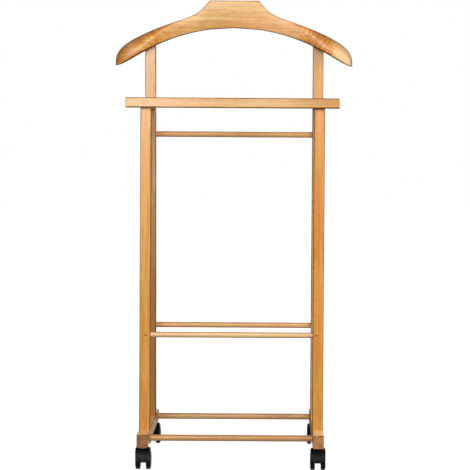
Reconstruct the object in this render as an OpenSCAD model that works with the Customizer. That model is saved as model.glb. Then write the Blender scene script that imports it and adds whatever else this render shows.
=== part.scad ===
// Clothes valet stand in varnished beech. Two side frames, each a foot beam, a front leg, a rear post
// and a short arm, stand on twin-wheel castors. Five round rails tie them together, a flat trouser
// bar crosses the front legs, and a contoured jacket hanger sits on the front of the rear posts.
//
// Millimetres and degrees. The front faces -Y, +X is to the right of someone facing it and +Z is up.
// The origin lies on the floor, below the middle of the whole outline. Left and right are as seen
// from the front. The castors are drawn trailing to the rear.

/* [Stand] */
// Height from the floor to the flat top of the hanger
stand_h = 1000; // [940:5:1100]
// Width across the outer faces of the two side frames
frame_w = 392; // [340:2:440]
// Width of the beams, legs and posts, measured across the stand
stock_w = 23; // [20:0.5:30]
// Rounding along the long edges of the beams, legs, posts and arms
edge_r = 2; // [1:0.5:4]

/* [Foot beams] */
// Length of a foot beam from front to back
beam_len = 342; // [300:2:420]
// Height of a foot beam
beam_h = 28; // [26:1:40]
// Rounding of a beam's upper front corner
beam_nose_r = 4; // [2:0.5:8]
// Rounding of a beam's upper rear corner
beam_tail_r = 8; // [4:0.5:12]

/* [Legs and posts] */
// Depth of a front leg from front to back
leg_d = 24; // [22:1:30]
// Depth of a rear post from front to back
post_d = 26; // [22:1:32]
// Angle by which the front legs lean back
leg_lean = 2.2; // [0:0.1:4]
// Angle by which the rear posts lean forward
post_lean = 1.7; // [0:0.1:3]
// From the front end of a beam back to the foot of its leg
leg_setback = 61; // [50:1:70]
// From the rear end of a beam forward to the rear face of its post
post_setback = 78; // [60:1:90]
// How far a post stays below the upper edge of the hanger
post_top_gap = 4; // [2:0.5:10]

/* [Side arms] */
// Width of a side arm across the stand
arm_w = 20; // [16:1:20]
// Height of a side arm
arm_h = 22; // [18:1:28]

/* [Trouser bar] */
// Length of the trouser bar
bar_len = 452; // [400:2:520]
// Height of the trouser bar's front face
bar_h = 21; // [18:1:30]
// Thickness of the trouser bar
bar_d = 18; // [16:1:22]
// Height of the middle of the trouser bar above the floor
bar_z = 774; // [700:1:820]
// Rounding along the edges of the trouser bar
bar_r = 2.5; // [1:0.5:5]
// Rounding round the sawn ends of the bar, beams, legs and posts
end_r = 1; // [0.5:0.25:1.5]

/* [Rails] */
// Diameter of the top rail and of the two middle rails
rail_d = 12.5; // [10:0.5:16]
// Diameter of the two rails near the floor
foot_rail_d = 13.5; // [10:0.5:15]
// Depth to which a rail's end sits in its hole
rail_seat = 13; // [9:0.5:16]
// Height of the top rail
top_rail_z = 709; // [600:1:730]
// Height of the front middle rail
mid_front_rail_z = 281; // [200:1:400]
// Height of the rear middle rail
mid_rear_rail_z = 284; // [200:1:400]
// Height of the middle of the front foot rail above the underside of the beams
foot_front_rail_up = 9; // [8.5:0.5:11]
// Height of the middle of the rear foot rail above the underside of the beams
foot_rear_rail_up = 12; // [10:0.5:18]
// From the rear end of the beams forward to the rear foot rail
foot_rear_rail_inset = 11; // [10.5:0.5:14]

/* [Hanger] */
// Width of the hanger from tip to tip
hanger_w = 516; // [460:2:560]
// How far the tips lie below the flat top of the neck
hanger_drop = 142.5; // [120:0.5:160]
// Width of the neck's flat top
neck_w = 106; // [80:2:130]
// Height of the neck in the middle
neck_h = 58.5; // [50:0.5:70]
// Radius of the arch under the hanger
arch_r = 400; // [390:5:560]
// Fall of the arms for each millimetre outward
arm_slope = 0.32; // [0.25:0.01:0.38]
// Depth of the rounded shoulder at each end of the hanger
shoulder_h = 55; // [48:0.5:60]
// Thickness of the hanger at the neck
neck_t = 20; // [16:1:26]
// Thickness of the hanger at its full shoulders
shoulder_t = 37; // [28:1:46]
// How far the ends of the hanger curve forward of the posts
hanger_sweep = 7; // [0:1:14]
// Rounding of the upper edges at the neck
neck_edge_r = 3; // [1.5:0.5:5]

/* [Castors] */
// Height of a castor from the floor to the underside of the beam
castor_h = 51.5; // [50:0.5:60]
// Diameter of a castor wheel
wheel_d = 40; // [36:1:42]
// Width of one wheel
wheel_w = 9.5; // [9:0.5:13]
// Width of the space between the two wheels of a castor
wheel_gap = 13; // [10:0.2:14]
// Distance by which the axle trails behind the stem
castor_trail = 18; // [16:0.5:20]
// Thickness of the hood over the wheels
hood_t = 3.2; // [2:0.2:4]
// From the front end of a beam back to the stem of its front castor
front_stem_inset = 20; // [16:1:26]
// Wood between the rear foot rail and the socket of a rear castor
tail_web = 2.7; // [2:0.1:8]
// Diameter of the steel stem
stem_d = 8; // [6:0.5:8]
// Length of the stem inside its socket
stem_reach = 21; // [16:1:22]
// Wall of the socket sleeve
socket_t = 1.5; // [1:0.25:2]
// Diameter of the wheel axle
axle_d = 5; // [4:0.5:6]

/* [Fixings] */
// Diameter of the wooden dowels in the side frames
dowel_d = 6; // [5:0.5:8]
// Wood between the front foot rail and the dowels above it
dowel_web = 1.5; // [1:0.25:3]
// Depth of a dowel in the foot of a leg or a post
dowel_in_foot = 14; // [10:1:18]
// Depth of a dowel in the side of a leg or a post, and in the end of an arm
arm_dowel_seat = 10; // [8:0.5:12]
// Wood between the tip of a bar's screw and the dowels of the arm behind it
screw_web = 1.5; // [1:0.25:3]
// Diameter of the screws' shanks
screw_d = 4; // [3:0.5:5]
// Diameter of the screws' heads
screw_head_d = 7.6; // [6:0.2:9]
// Diameter of the plugs that cover the bar's screws
plug_d = 9; // [8:0.5:12]
// Diameter of the brads that hold the rails
brad_d = 1.6; // [1.2:0.2:2.4]
// Distance of a brad from the inner face of its leg or post
brad_inset = 6.5; // [4:0.5:8]

/* [Clearances] */
// Radial clearance of a stem in its socket and of a wheel on its axle
run_gap = 0.05; // [0.02:0.01:0.1]
// Space between parts that turn past each other
side_gap = 0.4; // [0.3:0.05:0.6]
// Space between a wheel's tread and the hood
tread_gap = 0.8; // [0.5:0.1:1.2]
// Radial space for glue round rails and dowels, and round pressed pins
glue_gap = 0.03; // [0.02:0.01:0.1]

/* [Hidden] */

$fn = 64;
LEFT = -1;
RIGHT = 1;
FRONT = 0;
REAR = 1;

beech = "#d9a566";
beech_end = "#b07a45";
black = "#1c1c1e";
steel = "#b8bcc0";

// Anything longer than the whole stand, for cutting
far = 2 * (stand_h + frame_w);

// Socket sleeve of a castor
socket_d = stem_d + 2 * run_gap + 2 * socket_t;
socket_len = stem_reach + 3;
flange_h = 1.2;
flange_d = socket_d + 6;

// Places in the side view: Y runs to the rear
rear_stem_inset = foot_rear_rail_inset + (foot_rail_d + socket_d) / 2 + tail_web;
overhang = max(0, castor_trail + wheel_d / 2 - rear_stem_inset);
nose_y = -(beam_len + overhang) / 2;
tail_y = nose_y + beam_len;
beam_top = castor_h + beam_h;
leg_foot_y = nose_y + leg_setback;
post_foot_y = tail_y - post_setback;
frame_x = (frame_w - stock_w) / 2;
inner_x = frame_w / 2 - stock_w;

// Front face of a leg, and rear face of a post, at a height
function leg_front(z) = leg_foot_y + (z - beam_top) * tan(leg_lean);
function leg_mid(z) = leg_front(z) + leg_d / 2 / cos(leg_lean);
function leg_rear(z) = leg_front(z) + leg_d / cos(leg_lean);
function post_rear(z) = post_foot_y - (z - beam_top) * tan(post_lean);
function post_mid(z) = post_rear(z) - post_d / 2 / cos(post_lean);
function post_front(z) = post_rear(z) - post_d / cos(post_lean);

// Distance along a leg or post, from its foot, of a point at a height
function along_leg(z) = (z - beam_top) / cos(leg_lean);
function along_post(z) = (z - beam_top) / cos(post_lean);

bar_top = bar_z + bar_h / 2;
leg_below_bar = 2;
leg_top = bar_top - leg_below_bar;
arm_top = leg_top;
arm_z = arm_top - arm_h / 2;

// ---- Hanger outline -------------------------------------------------------------------------

tip_x = hanger_w / 2;
tip_z = stand_h - hanger_drop;
arch_top = stand_h - neck_h;
// How blunt the shoulder is: the powers of its rounded end
shoulder_run = 4.9;
shoulder_fall = 3.3;
// The neck runs out into the arms over this length, with this power
neck_run = 18;
neck_fall = 1.4;

function shoulder(x) = shoulder_h * pow(max(0, 1 - pow(x / tip_x, shoulder_run)), 1 / shoulder_fall);
function arm_line(x) = tip_z + arm_slope * (tip_x - x) + shoulder(x);
neck_rise = stand_h - arm_line(neck_w / 2);
function neck_curve(x) = neck_rise * exp(-pow((x - neck_w / 2) / neck_run, neck_fall));
function arch(x) = arch_top - arch_r + sqrt(arch_r * arch_r - x * x);
tip_lift = tip_z - arch(tip_x);

// The lower edge leaves the arch only near the tip, the nearer the higher this power is
tip_curl = 16;

// Upper and lower edge of the hanger at a distance from its middle
function hanger_upper(x) = x <= neck_w / 2 ? stand_h : arm_line(x) + neck_curve(x);
function hanger_lower(x) = arch(x) + tip_lift * pow(x / tip_x, tip_curl);

// Smooth step from 0 to 1 between two places
function ease(x, a, b) = let (t = min(1, max(0, (x - a) / (b - a)))) t * t * (3 - 2 * t);

// The arms thicken between these two places, curve forward beyond the frames and end in a round nose
swell_from = 0.42 * tip_x;
swell_to = 0.84 * tip_x;
sweep_from = frame_w / 2;
nose_blunt = 12;
function swell(x) = ease(x, swell_from, swell_to);
function nose(x) = sqrt(max(0, 1 - pow(x / tip_x, nose_blunt)));
function thickness(x) = neck_t + (shoulder_t - neck_t) * swell(x);
function sweep(x) = hanger_sweep * pow(max(0, x - sweep_from) / (tip_x - sweep_from), 2);
// Front and back of the hanger, measured forward from the front of the posts
function hanger_back(x) = sweep(x) + thickness(x) * (1 - nose(x)) / 2;
function hanger_front(x) = sweep(x) + thickness(x) * (1 + nose(x)) / 2;

post_top = hanger_upper(frame_w / 2) - post_top_gap;
// The hanger's screw and the dowel below it, evenly about the middle of the seat
hold_mid_z = (hanger_lower(frame_x) + post_top) / 2;
hold_web = 4.2;
hold_apart = (screw_head_d + dowel_d) / 2 + hold_web;
hanger_screw_z = hold_mid_z + hold_apart / 2;
hanger_dowel_z = hold_mid_z - hold_apart / 2;

// One closed section of the hanger, as points [forward, up], counter-clockwise seen from +X
low_steps = 2;
front_steps = 9;
back_steps = 4;
low_edge_r = 1.5;
// Roundings of a full shoulder, as shares of its thickness and of its height
front_share = [0.66, 0.8];
back_share = [0.24, 0.3];
function quarter(cy, cz, ry, rz, from, steps) = [
    for (i = [0 : steps]) let (a = from + 90 * i / steps) [cy + ry * cos(a), cz + rz * sin(a)]
];
// From the neck's small rounding to a share of the size at a full shoulder
function rounding(x, size, share) = min(
    neck_edge_r + (share * size - neck_edge_r) * swell(x),
    share * size
);
function section(x) = let (
    lo = hanger_lower(x),
    up = hanger_upper(x),
    back = hanger_back(x),
    front = hanger_front(x),
    h = up - lo,
    t = front - back,
    low = min(low_edge_r, 0.2 * h, 0.2 * t),
    ry_front = rounding(x, t, front_share[0]),
    rz_front = rounding(x, h, front_share[1]),
    ry_back = rounding(x, t, back_share[0]),
    rz_back = rounding(x, h, back_share[1])
) concat(
    quarter(back + low, lo + low, low, low, 180, low_steps),
    quarter(front - low, lo + low, low, low, 270, low_steps),
    quarter(front - ry_front, up - rz_front, ry_front, rz_front, 0, front_steps),
    quarter(back + ry_back, up - rz_back, ry_back, rz_back, 90, back_steps)
);

// Stations from the middle to a tip: close where the neck runs out and towards the tip
neck_stations = 10;
arm_stations = 10;
tip_stations = 16;
neck_end = neck_w / 2;
arm_from = neck_end + 1.8 * neck_run;
arm_to = swell_to;
last_station = tip_x - 0.3;
tip_crowding = 1.9;
function between(a, b, t) = a + (b - a) * t;
right_stations = concat(
    [0],
    [for (i = [0 : neck_stations - 1]) between(neck_end, arm_from, i / neck_stations)],
    [for (i = [0 : arm_stations - 1]) between(arm_from, arm_to, i / arm_stations)],
    [for (i = [0 : tip_stations]) between(arm_to, last_station, 1 - pow(1 - i / tip_stations, tip_crowding))]
);
stations = concat(
    [for (i = [len(right_stations) - 1 : -1 : 1]) -right_stations[i]],
    right_stations
);
function hanger_point(x, p) = [x, post_front(p[1]) - p[0], p[1]];
hanger_rings = [for (x = stations) [for (p = section(abs(x))) hanger_point(x, p)]];
ring_n = len(hanger_rings[0]);
ring_count = len(hanger_rings);
hanger_points = [for (ring = hanger_rings) each ring];
hanger_sides = [
    for (i = [0 : ring_count - 2], j = [0 : ring_n - 1])
    let (a = i * ring_n + j, b = i * ring_n + (j + 1) % ring_n)
    each [[a, b, b + ring_n], [a, b + ring_n, a + ring_n]]
];
hanger_ends = [
    for (j = [1 : ring_n - 2]) each [
        [0, j + 1, j],
        [(ring_count - 1) * ring_n, (ring_count - 1) * ring_n + j, (ring_count - 1) * ring_n + j + 1],
    ]
];

// ---- Flat shapes ----------------------------------------------------------------------------

// Wedge with its point at [x, y], less a circle there: cuts a rounded corner
module corner_cut(x, y, r, from, to) {
    mid = (from + to) / 2;
    reach = 3 * r;
    translate([x, y])
        difference() {
            polygon([
                [0, 0],
                [reach * cos(from), reach * sin(from)],
                [reach * cos(mid) * 1.6, reach * sin(mid) * 1.6],
                [reach * cos(to), reach * sin(to)],
            ]);
            circle(r = r);
        }
}

// Rectangle with its lower left corner at the origin and all four corners rounded
module round_rect(w, h, r) {
    difference() {
        square([w, h]);
        corner_cut(r, r, r, 180, 270);
        corner_cut(w - r, r, r, 270, 360);
        corner_cut(w - r, h - r, r, 0, 90);
        corner_cut(r, h - r, r, 90, 180);
    }
}

// Draws a flat shape, given as [y, z], as a plate of the given thickness centred on x
module side_plate(x, w) {
    translate([x - w / 2, 0, 0])
        rotate([90, 0, 90])
            linear_extrude(w)
                children();
}

// Turns a shape that stands along Z so that it lies along X
module along_x() {
    rotate([0, 90, 0])
        children();
}

// A pin along Z that starts at the origin, with a small chamfer at both ends
module pin(d, h, chamfer) {
    rotate_extrude()
        polygon([
            [0, 0], [d / 2 - chamfer, 0], [d / 2, chamfer],
            [d / 2, h - chamfer], [d / 2 - chamfer, h], [0, h],
        ]);
}

// ---- Local frames ---------------------------------------------------------------------------

// Foot of a front leg: Y runs through the leg from its front face, Z runs up along it
module at_leg(side) {
    translate([side * frame_x, leg_foot_y, beam_top])
        rotate([-leg_lean, 0, 0])
            children();
}

// Foot of a rear post: Y runs rearward from its rear face, Z runs up along it
module at_post(side) {
    translate([side * frame_x, post_foot_y, beam_top])
        rotate([post_lean, 0, 0])
            children();
}

function stem_y(end) = end == FRONT ? nose_y + front_stem_inset : tail_y - rear_stem_inset;

// Axle of a castor at rest
module at_castor(side, end) {
    translate([side * frame_x, stem_y(end) + castor_trail, wheel_d / 2])
        children();
}

// Underside of a beam at a castor's stem
module at_stem(side, end) {
    translate([side * frame_x, stem_y(end), castor_h])
        children();
}

// ---- Rails and the holes they sit in --------------------------------------------------------

foot_front_rail_z = castor_h + foot_front_rail_up;
foot_rear_rail_z = castor_h + foot_rear_rail_up;
rail_chamfer = 0.8;

// A rail between two side frames, with its ends in their holes
module rail(d, y, z, seat) {
    half = inner_x + seat;
    translate([-half, y, z])
        along_x()
            pin(d, 2 * half, rail_chamfer);
}

// The hole for a rail's end in the inner face of one side frame
module rail_hole(side, d, y, z, seat) {
    mid = side * (inner_x + seat / 2 + glue_gap);
    translate([mid, y, z])
        along_x()
            cylinder(h = seat + 2 * glue_gap, d = d + 2 * glue_gap, center = true);
    translate([side * inner_x, y, z])
        along_x()
            cylinder(h = 1, d = d + 2 * glue_gap, center = true);
}

// ---- Fixings --------------------------------------------------------------------------------

head_h = 2.6;
head_room = 1.6;
bar_plug_h = 4;
// A plug stands slightly proud of the bar, with a little space over the screw's head
plug_proud = 0.2;
plug_lift = 0.2;
dowel_chamfer = 0.6;
// Dowels stand in pairs, this far from the middle line, with this much wood left outside each
foot_dowel_edge = 3.4;
arm_dowel_edge = 1.8;
foot_dowel_spread = (min(leg_d, post_d) - dowel_d) / 2 - foot_dowel_edge;
arm_dowel_spread = (arm_w - dowel_d) / 2 - arm_dowel_edge;
hanger_dowel_seat = 10;
// A brad goes through its rail but not out of it
brad_len = min(leg_d, post_d) / 2 + rail_d / 2 - 1;
dowel_in_beam = beam_h - foot_front_rail_up - foot_rail_d / 2 - dowel_web;
foot_dowel_len = dowel_in_beam + dowel_in_foot;
bar_screw_len = bar_d - bar_plug_h + leg_d - arm_dowel_seat - screw_web;
hanger_screw_len = post_d + 0.65 * neck_t;

// A countersunk wood screw along Z: its head's flat face is at the origin and its tip is below
module screw(d, head_d, length) {
    rotate_extrude()
        polygon([
            [0, 0], [head_d / 2, 0], [head_d / 2, -0.4], [d / 2, -head_h],
            [d / 2, -length + 2 * d], [0.2, -length], [0, -length],
        ]);
}

// Space that the screw fills, with room round its head
module screw_room(d, head_d, length) {
    translate([0, 0, -length - glue_gap])
        cylinder(h = length + glue_gap, d = d + 2 * glue_gap);
    translate([0, 0, -head_h])
        cylinder(h = head_h + glue_gap, d1 = d + 2 * glue_gap, d2 = head_d + head_room);
}

// Screws of the trouser bar run rearward, in the frame of a leg
module at_bar_screw(side) {
    at_leg(side)
        translate([0, bar_plug_h - bar_d, along_leg(bar_z)])
            rotate([90, 0, 0])
                children();
}

// Screws and dowels of the hanger run forward, in the frame of a post
module at_hanger_screw(side) {
    at_post(side)
        translate([0, 0, along_post(hanger_screw_z)])
            rotate([-90, 0, 0])
                children();
}

module at_hanger_dowel(side) {
    at_post(side)
        translate([0, -post_d - hanger_dowel_seat, along_post(hanger_dowel_z)])
            rotate([-90, 0, 0])
                children();
}

// Dowels at the foot of a leg or post, which run along it
module foot_dowel_pair(mid_y) {
    for (s = [-1, 1])
        translate([0, mid_y + s * foot_dowel_spread, -dowel_in_beam])
            children();
}

// Dowels at both ends of an arm, which run from front to back
module arm_dowel_set(side) {
    for (s = [-1, 1])
        for (y = [leg_rear(arm_z), post_front(arm_z)])
            translate([side * frame_x + s * arm_dowel_spread, y - arm_dowel_seat, arm_z])
                rotate([-90, 0, 0])
                    children();
}

// Brads through the front of a leg or the rear of a post into a rail
module leg_brad(side, z) {
    at_leg(side)
        translate([-side * (stock_w / 2 - brad_inset), 0, along_leg(z)])
            rotate([-90, 0, 0])
                children();
}

module post_brad(side, z) {
    at_post(side)
        translate([-side * (stock_w / 2 - brad_inset), 0, along_post(z)])
            rotate([90, 0, 0])
                children();
}

module brad_room() {
    translate([0, 0, -0.5])
        cylinder(h = brad_len + 0.5 + glue_gap, d = brad_d + 2 * glue_gap);
}

module all_brads(side) {
    leg_brad(side, mid_front_rail_z)
        children();
    post_brad(side, mid_rear_rail_z)
        children();
    post_brad(side, top_rail_z)
        children();
}

// ---- Side frames ----------------------------------------------------------------------------

module foot_beam(side) {
    color(beech)
        difference() {
            intersection() {
                side_plate(side * frame_x, stock_w)
                    difference() {
                        translate([nose_y, castor_h])
                            square([beam_len, beam_h]);
                        corner_cut(nose_y + beam_nose_r, beam_top - beam_nose_r, beam_nose_r, 90, 180);
                        corner_cut(tail_y - beam_tail_r, beam_top - beam_tail_r, beam_tail_r, 0, 90);
                    }
                translate([side * frame_x - stock_w / 2, tail_y + 1, castor_h])
                    rotate([90, 0, 0])
                        linear_extrude(beam_len + 2)
                            round_rect(stock_w, beam_h, edge_r);
                translate([side * frame_x - stock_w / 2, nose_y, castor_h - 1])
                    linear_extrude(beam_h + 2)
                        round_rect(stock_w, beam_len, end_r);
            }
            for (end = [FRONT, REAR])
                at_stem(side, end)
                    translate([0, 0, -1])
                        cylinder(h = socket_len + 1 + glue_gap, d = socket_d + 2 * glue_gap);
            rail_hole(side, foot_rail_d, leg_mid(beam_top), foot_front_rail_z, rail_seat);
            rail_hole(side, foot_rail_d, tail_y - foot_rear_rail_inset, foot_rear_rail_z, rail_seat);
            foot_dowel_room(side);
        }
}

// Holes for the dowels at the feet of one side frame
module foot_dowel_room(side) {
    at_leg(side)
        foot_dowel_pair(leg_d / 2)
            translate([0, 0, -glue_gap])
                cylinder(h = foot_dowel_len + 2 * glue_gap, d = dowel_d + 2 * glue_gap);
    at_post(side)
        foot_dowel_pair(-post_d / 2)
            translate([0, 0, -glue_gap])
                cylinder(h = foot_dowel_len + 2 * glue_gap, d = dowel_d + 2 * glue_gap);
}

// Holes for the dowels of one side arm
module arm_dowel_room(side) {
    arm_dowel_set(side)
        translate([0, 0, -glue_gap])
            cylinder(h = 2 * arm_dowel_seat + 2 * glue_gap, d = dowel_d + 2 * glue_gap);
}

// Everything that lies below the top of the beams
module below_beams() {
    translate([-far / 2, -far / 2, beam_top - far])
        cube([far, far, far]);
}

// Upper end of a leg or post, as [across, z], with its two corners broken
module broken_end(half, top) {
    spread = 60;
    polygon([
        [-half - spread, 0],
        [-half - spread, top - end_r - spread],
        [-half + end_r + 1, top + 1],
        [half - end_r - 1, top + 1],
        [half + spread, top - end_r - spread],
        [half + spread, 0],
    ]);
}

// Cuts its children off at a height and breaks the four edges there
module topped(side, mid_y, depth, top) {
    difference() {
        intersection() {
            children();
            translate([side * frame_x, far / 2, 0])
                rotate([90, 0, 0])
                    linear_extrude(far)
                        broken_end(stock_w / 2, top);
            side_plate(side * frame_x, far)
                translate([mid_y, 0])
                    broken_end(depth / 2, top);
        }
        translate([-far / 2, -far / 2, top])
            cube([far, far, far]);
    }
}

module front_leg(side) {
    color(beech)
        difference() {
            topped(side, leg_mid(leg_top), leg_d / cos(leg_lean), leg_top)
                at_leg(side)
                    translate([-stock_w / 2, 0, -stock_w])
                        linear_extrude(along_leg(leg_top) + 2 * stock_w)
                            round_rect(stock_w, leg_d, edge_r);
            below_beams();
            rail_hole(side, rail_d, leg_mid(mid_front_rail_z), mid_front_rail_z, rail_seat);
            foot_dowel_room(side);
            arm_dowel_room(side);
            at_bar_screw(side)
                screw_room(screw_d, screw_head_d, bar_screw_len);
            all_brads(side)
                brad_room();
        }
}

module rear_post(side) {
    color(beech)
        difference() {
            topped(side, post_mid(post_top), post_d / cos(post_lean), post_top)
                at_post(side)
                    translate([-stock_w / 2, -post_d, -stock_w])
                        linear_extrude(along_post(post_top) + 2 * stock_w)
                            round_rect(stock_w, post_d, edge_r);
            below_beams();
            rail_hole(side, rail_d, post_mid(mid_rear_rail_z), mid_rear_rail_z, rail_seat);
            rail_hole(side, rail_d, post_mid(top_rail_z), top_rail_z, rail_seat);
            foot_dowel_room(side);
            arm_dowel_room(side);
            at_hanger_screw(side)
                screw_room(screw_d, screw_head_d, hanger_screw_len);
            at_hanger_dowel(side)
                cylinder(h = 2 * hanger_dowel_seat + glue_gap, d = dowel_d + 2 * glue_gap);
            all_brads(side)
                brad_room();
        }
}

// The arm's ends are cut to the slope of the leg and of the post
module side_arm(side) {
    color(beech)
        difference() {
            intersection() {
                side_plate(side * frame_x, arm_w)
                    polygon([
                        [leg_rear(arm_top - arm_h), arm_top - arm_h],
                        [post_front(arm_top - arm_h), arm_top - arm_h],
                        [post_front(arm_top), arm_top],
                        [leg_rear(arm_top), arm_top],
                    ]);
                translate([side * frame_x - arm_w / 2, far / 2, arm_top - arm_h])
                    rotate([90, 0, 0])
                        linear_extrude(far)
                            round_rect(arm_w, arm_h, edge_r);
            }
            arm_dowel_room(side);
        }
}

// ---- Hanger and trouser bar -----------------------------------------------------------------

module hanger() {
    color(beech)
        difference() {
            polyhedron(points = hanger_points, faces = concat(hanger_sides, hanger_ends));
            for (side = [LEFT, RIGHT]) {
                at_hanger_screw(side)
                    screw_room(screw_d, screw_head_d, hanger_screw_len);
                at_hanger_dowel(side)
                    translate([0, 0, -glue_gap])
                        cylinder(h = 2 * hanger_dowel_seat + glue_gap, d = dowel_d + 2 * glue_gap);
            }
        }
}

module trouser_bar() {
    color(beech)
        difference() {
            at_leg(0)
                translate([-bar_len / 2, -bar_d, along_leg(bar_z) - bar_h / 2])
                    intersection() {
                        rotate([90, 0, 90])
                            linear_extrude(bar_len)
                                round_rect(bar_d, bar_h, bar_r);
                        translate([0, bar_d + 1, 0])
                            rotate([90, 0, 0])
                                linear_extrude(bar_d + 2)
                                    round_rect(bar_len, bar_h, end_r);
                        translate([0, 0, -1])
                            linear_extrude(bar_h + 2)
                                round_rect(bar_len, bar_d, end_r);
                    }
            for (side = [LEFT, RIGHT])
                at_bar_screw(side) {
                    screw_room(screw_d, screw_head_d, bar_screw_len);
                    cylinder(h = bar_plug_h + 1, d = plug_d + 2 * glue_gap);
                }
        }
}

module hanger_screws() {
    color(steel)
        for (side = [LEFT, RIGHT])
            at_hanger_screw(side)
                screw(screw_d, screw_head_d, hanger_screw_len);
}

module hanger_dowels() {
    color(beech_end)
        for (side = [LEFT, RIGHT])
            at_hanger_dowel(side)
                pin(dowel_d, 2 * hanger_dowel_seat, dowel_chamfer);
}

module bar_screws() {
    color(steel)
        for (side = [LEFT, RIGHT])
            at_bar_screw(side)
                screw(screw_d, screw_head_d, bar_screw_len);
}

module bar_plugs() {
    color(beech_end)
        for (side = [LEFT, RIGHT])
            at_bar_screw(side)
                translate([0, 0, plug_lift])
                    pin(plug_d, bar_plug_h - plug_lift + plug_proud, plug_proud);
}

module foot_dowels() {
    color(beech_end)
        for (side = [LEFT, RIGHT]) {
            at_leg(side)
                foot_dowel_pair(leg_d / 2)
                    pin(dowel_d, foot_dowel_len, dowel_chamfer);
            at_post(side)
                foot_dowel_pair(-post_d / 2)
                    pin(dowel_d, foot_dowel_len, dowel_chamfer);
        }
}

module arm_dowels() {
    color(beech_end)
        for (side = [LEFT, RIGHT])
            arm_dowel_set(side)
                pin(dowel_d, 2 * arm_dowel_seat, dowel_chamfer);
}

module rail_brads() {
    color(steel)
        for (side = [LEFT, RIGHT])
            all_brads(side)
                pin(brad_d, brad_len, brad_d / 8);
}

// Brads drive into the rails as well, so each rail has its holes
module braded_rail(d, y, z, seat) {
    color(beech)
        difference() {
            rail(d, y, z, seat);
            for (side = [LEFT, RIGHT])
                all_brads(side)
                    brad_room();
        }
}

module top_rail() {
    braded_rail(rail_d, post_mid(top_rail_z), top_rail_z, rail_seat);
}

module middle_front_rail() {
    braded_rail(rail_d, leg_mid(mid_front_rail_z), mid_front_rail_z, rail_seat);
}

module middle_rear_rail() {
    braded_rail(rail_d, post_mid(mid_rear_rail_z), mid_rear_rail_z, rail_seat);
}

module foot_front_rail() {
    color(beech)
        rail(foot_rail_d, leg_mid(beam_top), foot_front_rail_z, rail_seat);
}

module foot_rear_rail() {
    color(beech)
        rail(foot_rail_d, tail_y - foot_rear_rail_inset, foot_rear_rail_z, rail_seat);
}

// ---- Castors --------------------------------------------------------------------------------

castor_w = wheel_gap + 2 * wheel_w;
hood_r = wheel_d / 2 + tread_gap + hood_t;
hood_corner_r = 7;
// The front of the hood is a housing round the stem, as wide as the castor and rounded at its shoulders
housing_r = 9;
shoulder_drop = 8;
shoulder_r = 14;
// Where its slope ends inside the arched part, behind and above the axle, as shares of the hood's radius
slope_end = [0.16, 0.88];
web_w = wheel_gap - 2 * side_gap;
boss_d = stem_d + 5.4;
boss_top = castor_h - flange_h - side_gap;
stem_in_boss = 16;
stem_foot = boss_top - stem_in_boss;
hub_boss_d = axle_d + 4;
// Where the hood ends behind the top of the wheels, and where it has run into the housing, above level
hood_tail_angle = 40;
hood_front_angle = 150;
// A ring on the stem snaps into its socket
ring_up = stem_reach - 6;
ring_h = 1.6;
ring_out = 0.35;
// A groove near each end of the axle takes the ridge in a wheel's bore
cap_t = 2.4;
axle_half = wheel_gap / 2 + wheel_w - cap_t;
snap_from_end = 1.6;
snap_w = 1.2;
snap_in = 0.3;

module castor_socket(side, end) {
    color(steel)
        at_stem(side, end)
            rotate_extrude()
                difference() {
                    union() {
                        square([socket_d / 2, socket_len]);
                        translate([0, -flange_h])
                            square([flange_d / 2, flange_h]);
                    }
                    translate([-1, -flange_h - 1])
                        square([1 + stem_d / 2 + run_gap, socket_len + flange_h + 2]);
                    translate([0, ring_up - ring_h / 2 - run_gap])
                        square([stem_d / 2 + ring_out + run_gap, ring_h + 2 * run_gap]);
                }
}

module castor_stem(side, end) {
    foot = stem_foot - castor_h;
    r = stem_d / 2;
    color(steel)
        at_stem(side, end)
            rotate_extrude()
                polygon([
                    [0, foot], [r, foot],
                    [r, ring_up - ring_h / 2], [r + ring_out, ring_up - ring_h / 2 + ring_out],
                    [r + ring_out, ring_up + ring_h / 2 - ring_out], [r, ring_up + ring_h / 2],
                    [r, stem_reach - 1], [r - 1, stem_reach], [0, stem_reach],
                ]);
}

// Arched section of the hood, as [radius, along the axle], with its shoulders rounded
module hood_section() {
    difference() {
        translate([0, -castor_w / 2])
            square([hood_r, castor_w]);
        translate([-1, -castor_w])
            square([1 + wheel_d / 2 + tread_gap, 2 * castor_w]);
        corner_cut(hood_r - hood_corner_r, castor_w / 2 - hood_corner_r, hood_corner_r, 0, 90);
        corner_cut(hood_r - hood_corner_r, -castor_w / 2 + hood_corner_r, hood_corner_r, 270, 360);
    }
}

// Web between the wheels, from the axle up to the hood
module hood_web() {
    r = hood_r - hood_t / 2;
    tail = [cos(hood_tail_angle), sin(hood_tail_angle)];
    hub = hub_boss_d / 2;
    circle(d = hub_boss_d);
    intersection() {
        circle(r = r);
        polygon([
            [0, -hub + 0.05], [-2 * r, 0.2], [-2 * r, 2 * r], [r, 2 * r],
            2 * r * tail, hub * [tail[1], -tail[0]] * 0.98,
        ]);
    }
}

// Side of the housing, as [y, z] from the axle: upright front, rounded top, slope down to the hood
module housing_side() {
    front = -castor_trail - boss_d / 2;
    top = boss_top - wheel_d / 2;
    rear = -castor_trail + boss_d / 2;
    difference() {
        polygon([[front, 0], [front, top], [rear, top], hood_r * slope_end, [0, 0]]);
        corner_cut(front + housing_r, top - housing_r, housing_r, 90, 180);
    }
}

// Front of the housing, as [x, z] from the axle, with shoulders that curve in towards the top
module housing_front() {
    top = boss_top - wheel_d / 2;
    half = castor_w / 2;
    translate([-half, -1])
        square([castor_w, top - shoulder_drop + 1]);
    intersection() {
        translate([-half, 0])
            square([castor_w, top]);
        for (s = [-1, 1])
            translate([s * (half - shoulder_r), top - shoulder_drop])
                circle(r = shoulder_r);
    }
    translate([shoulder_r - half, 0])
        square([castor_w - 2 * shoulder_r, top]);
}

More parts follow.
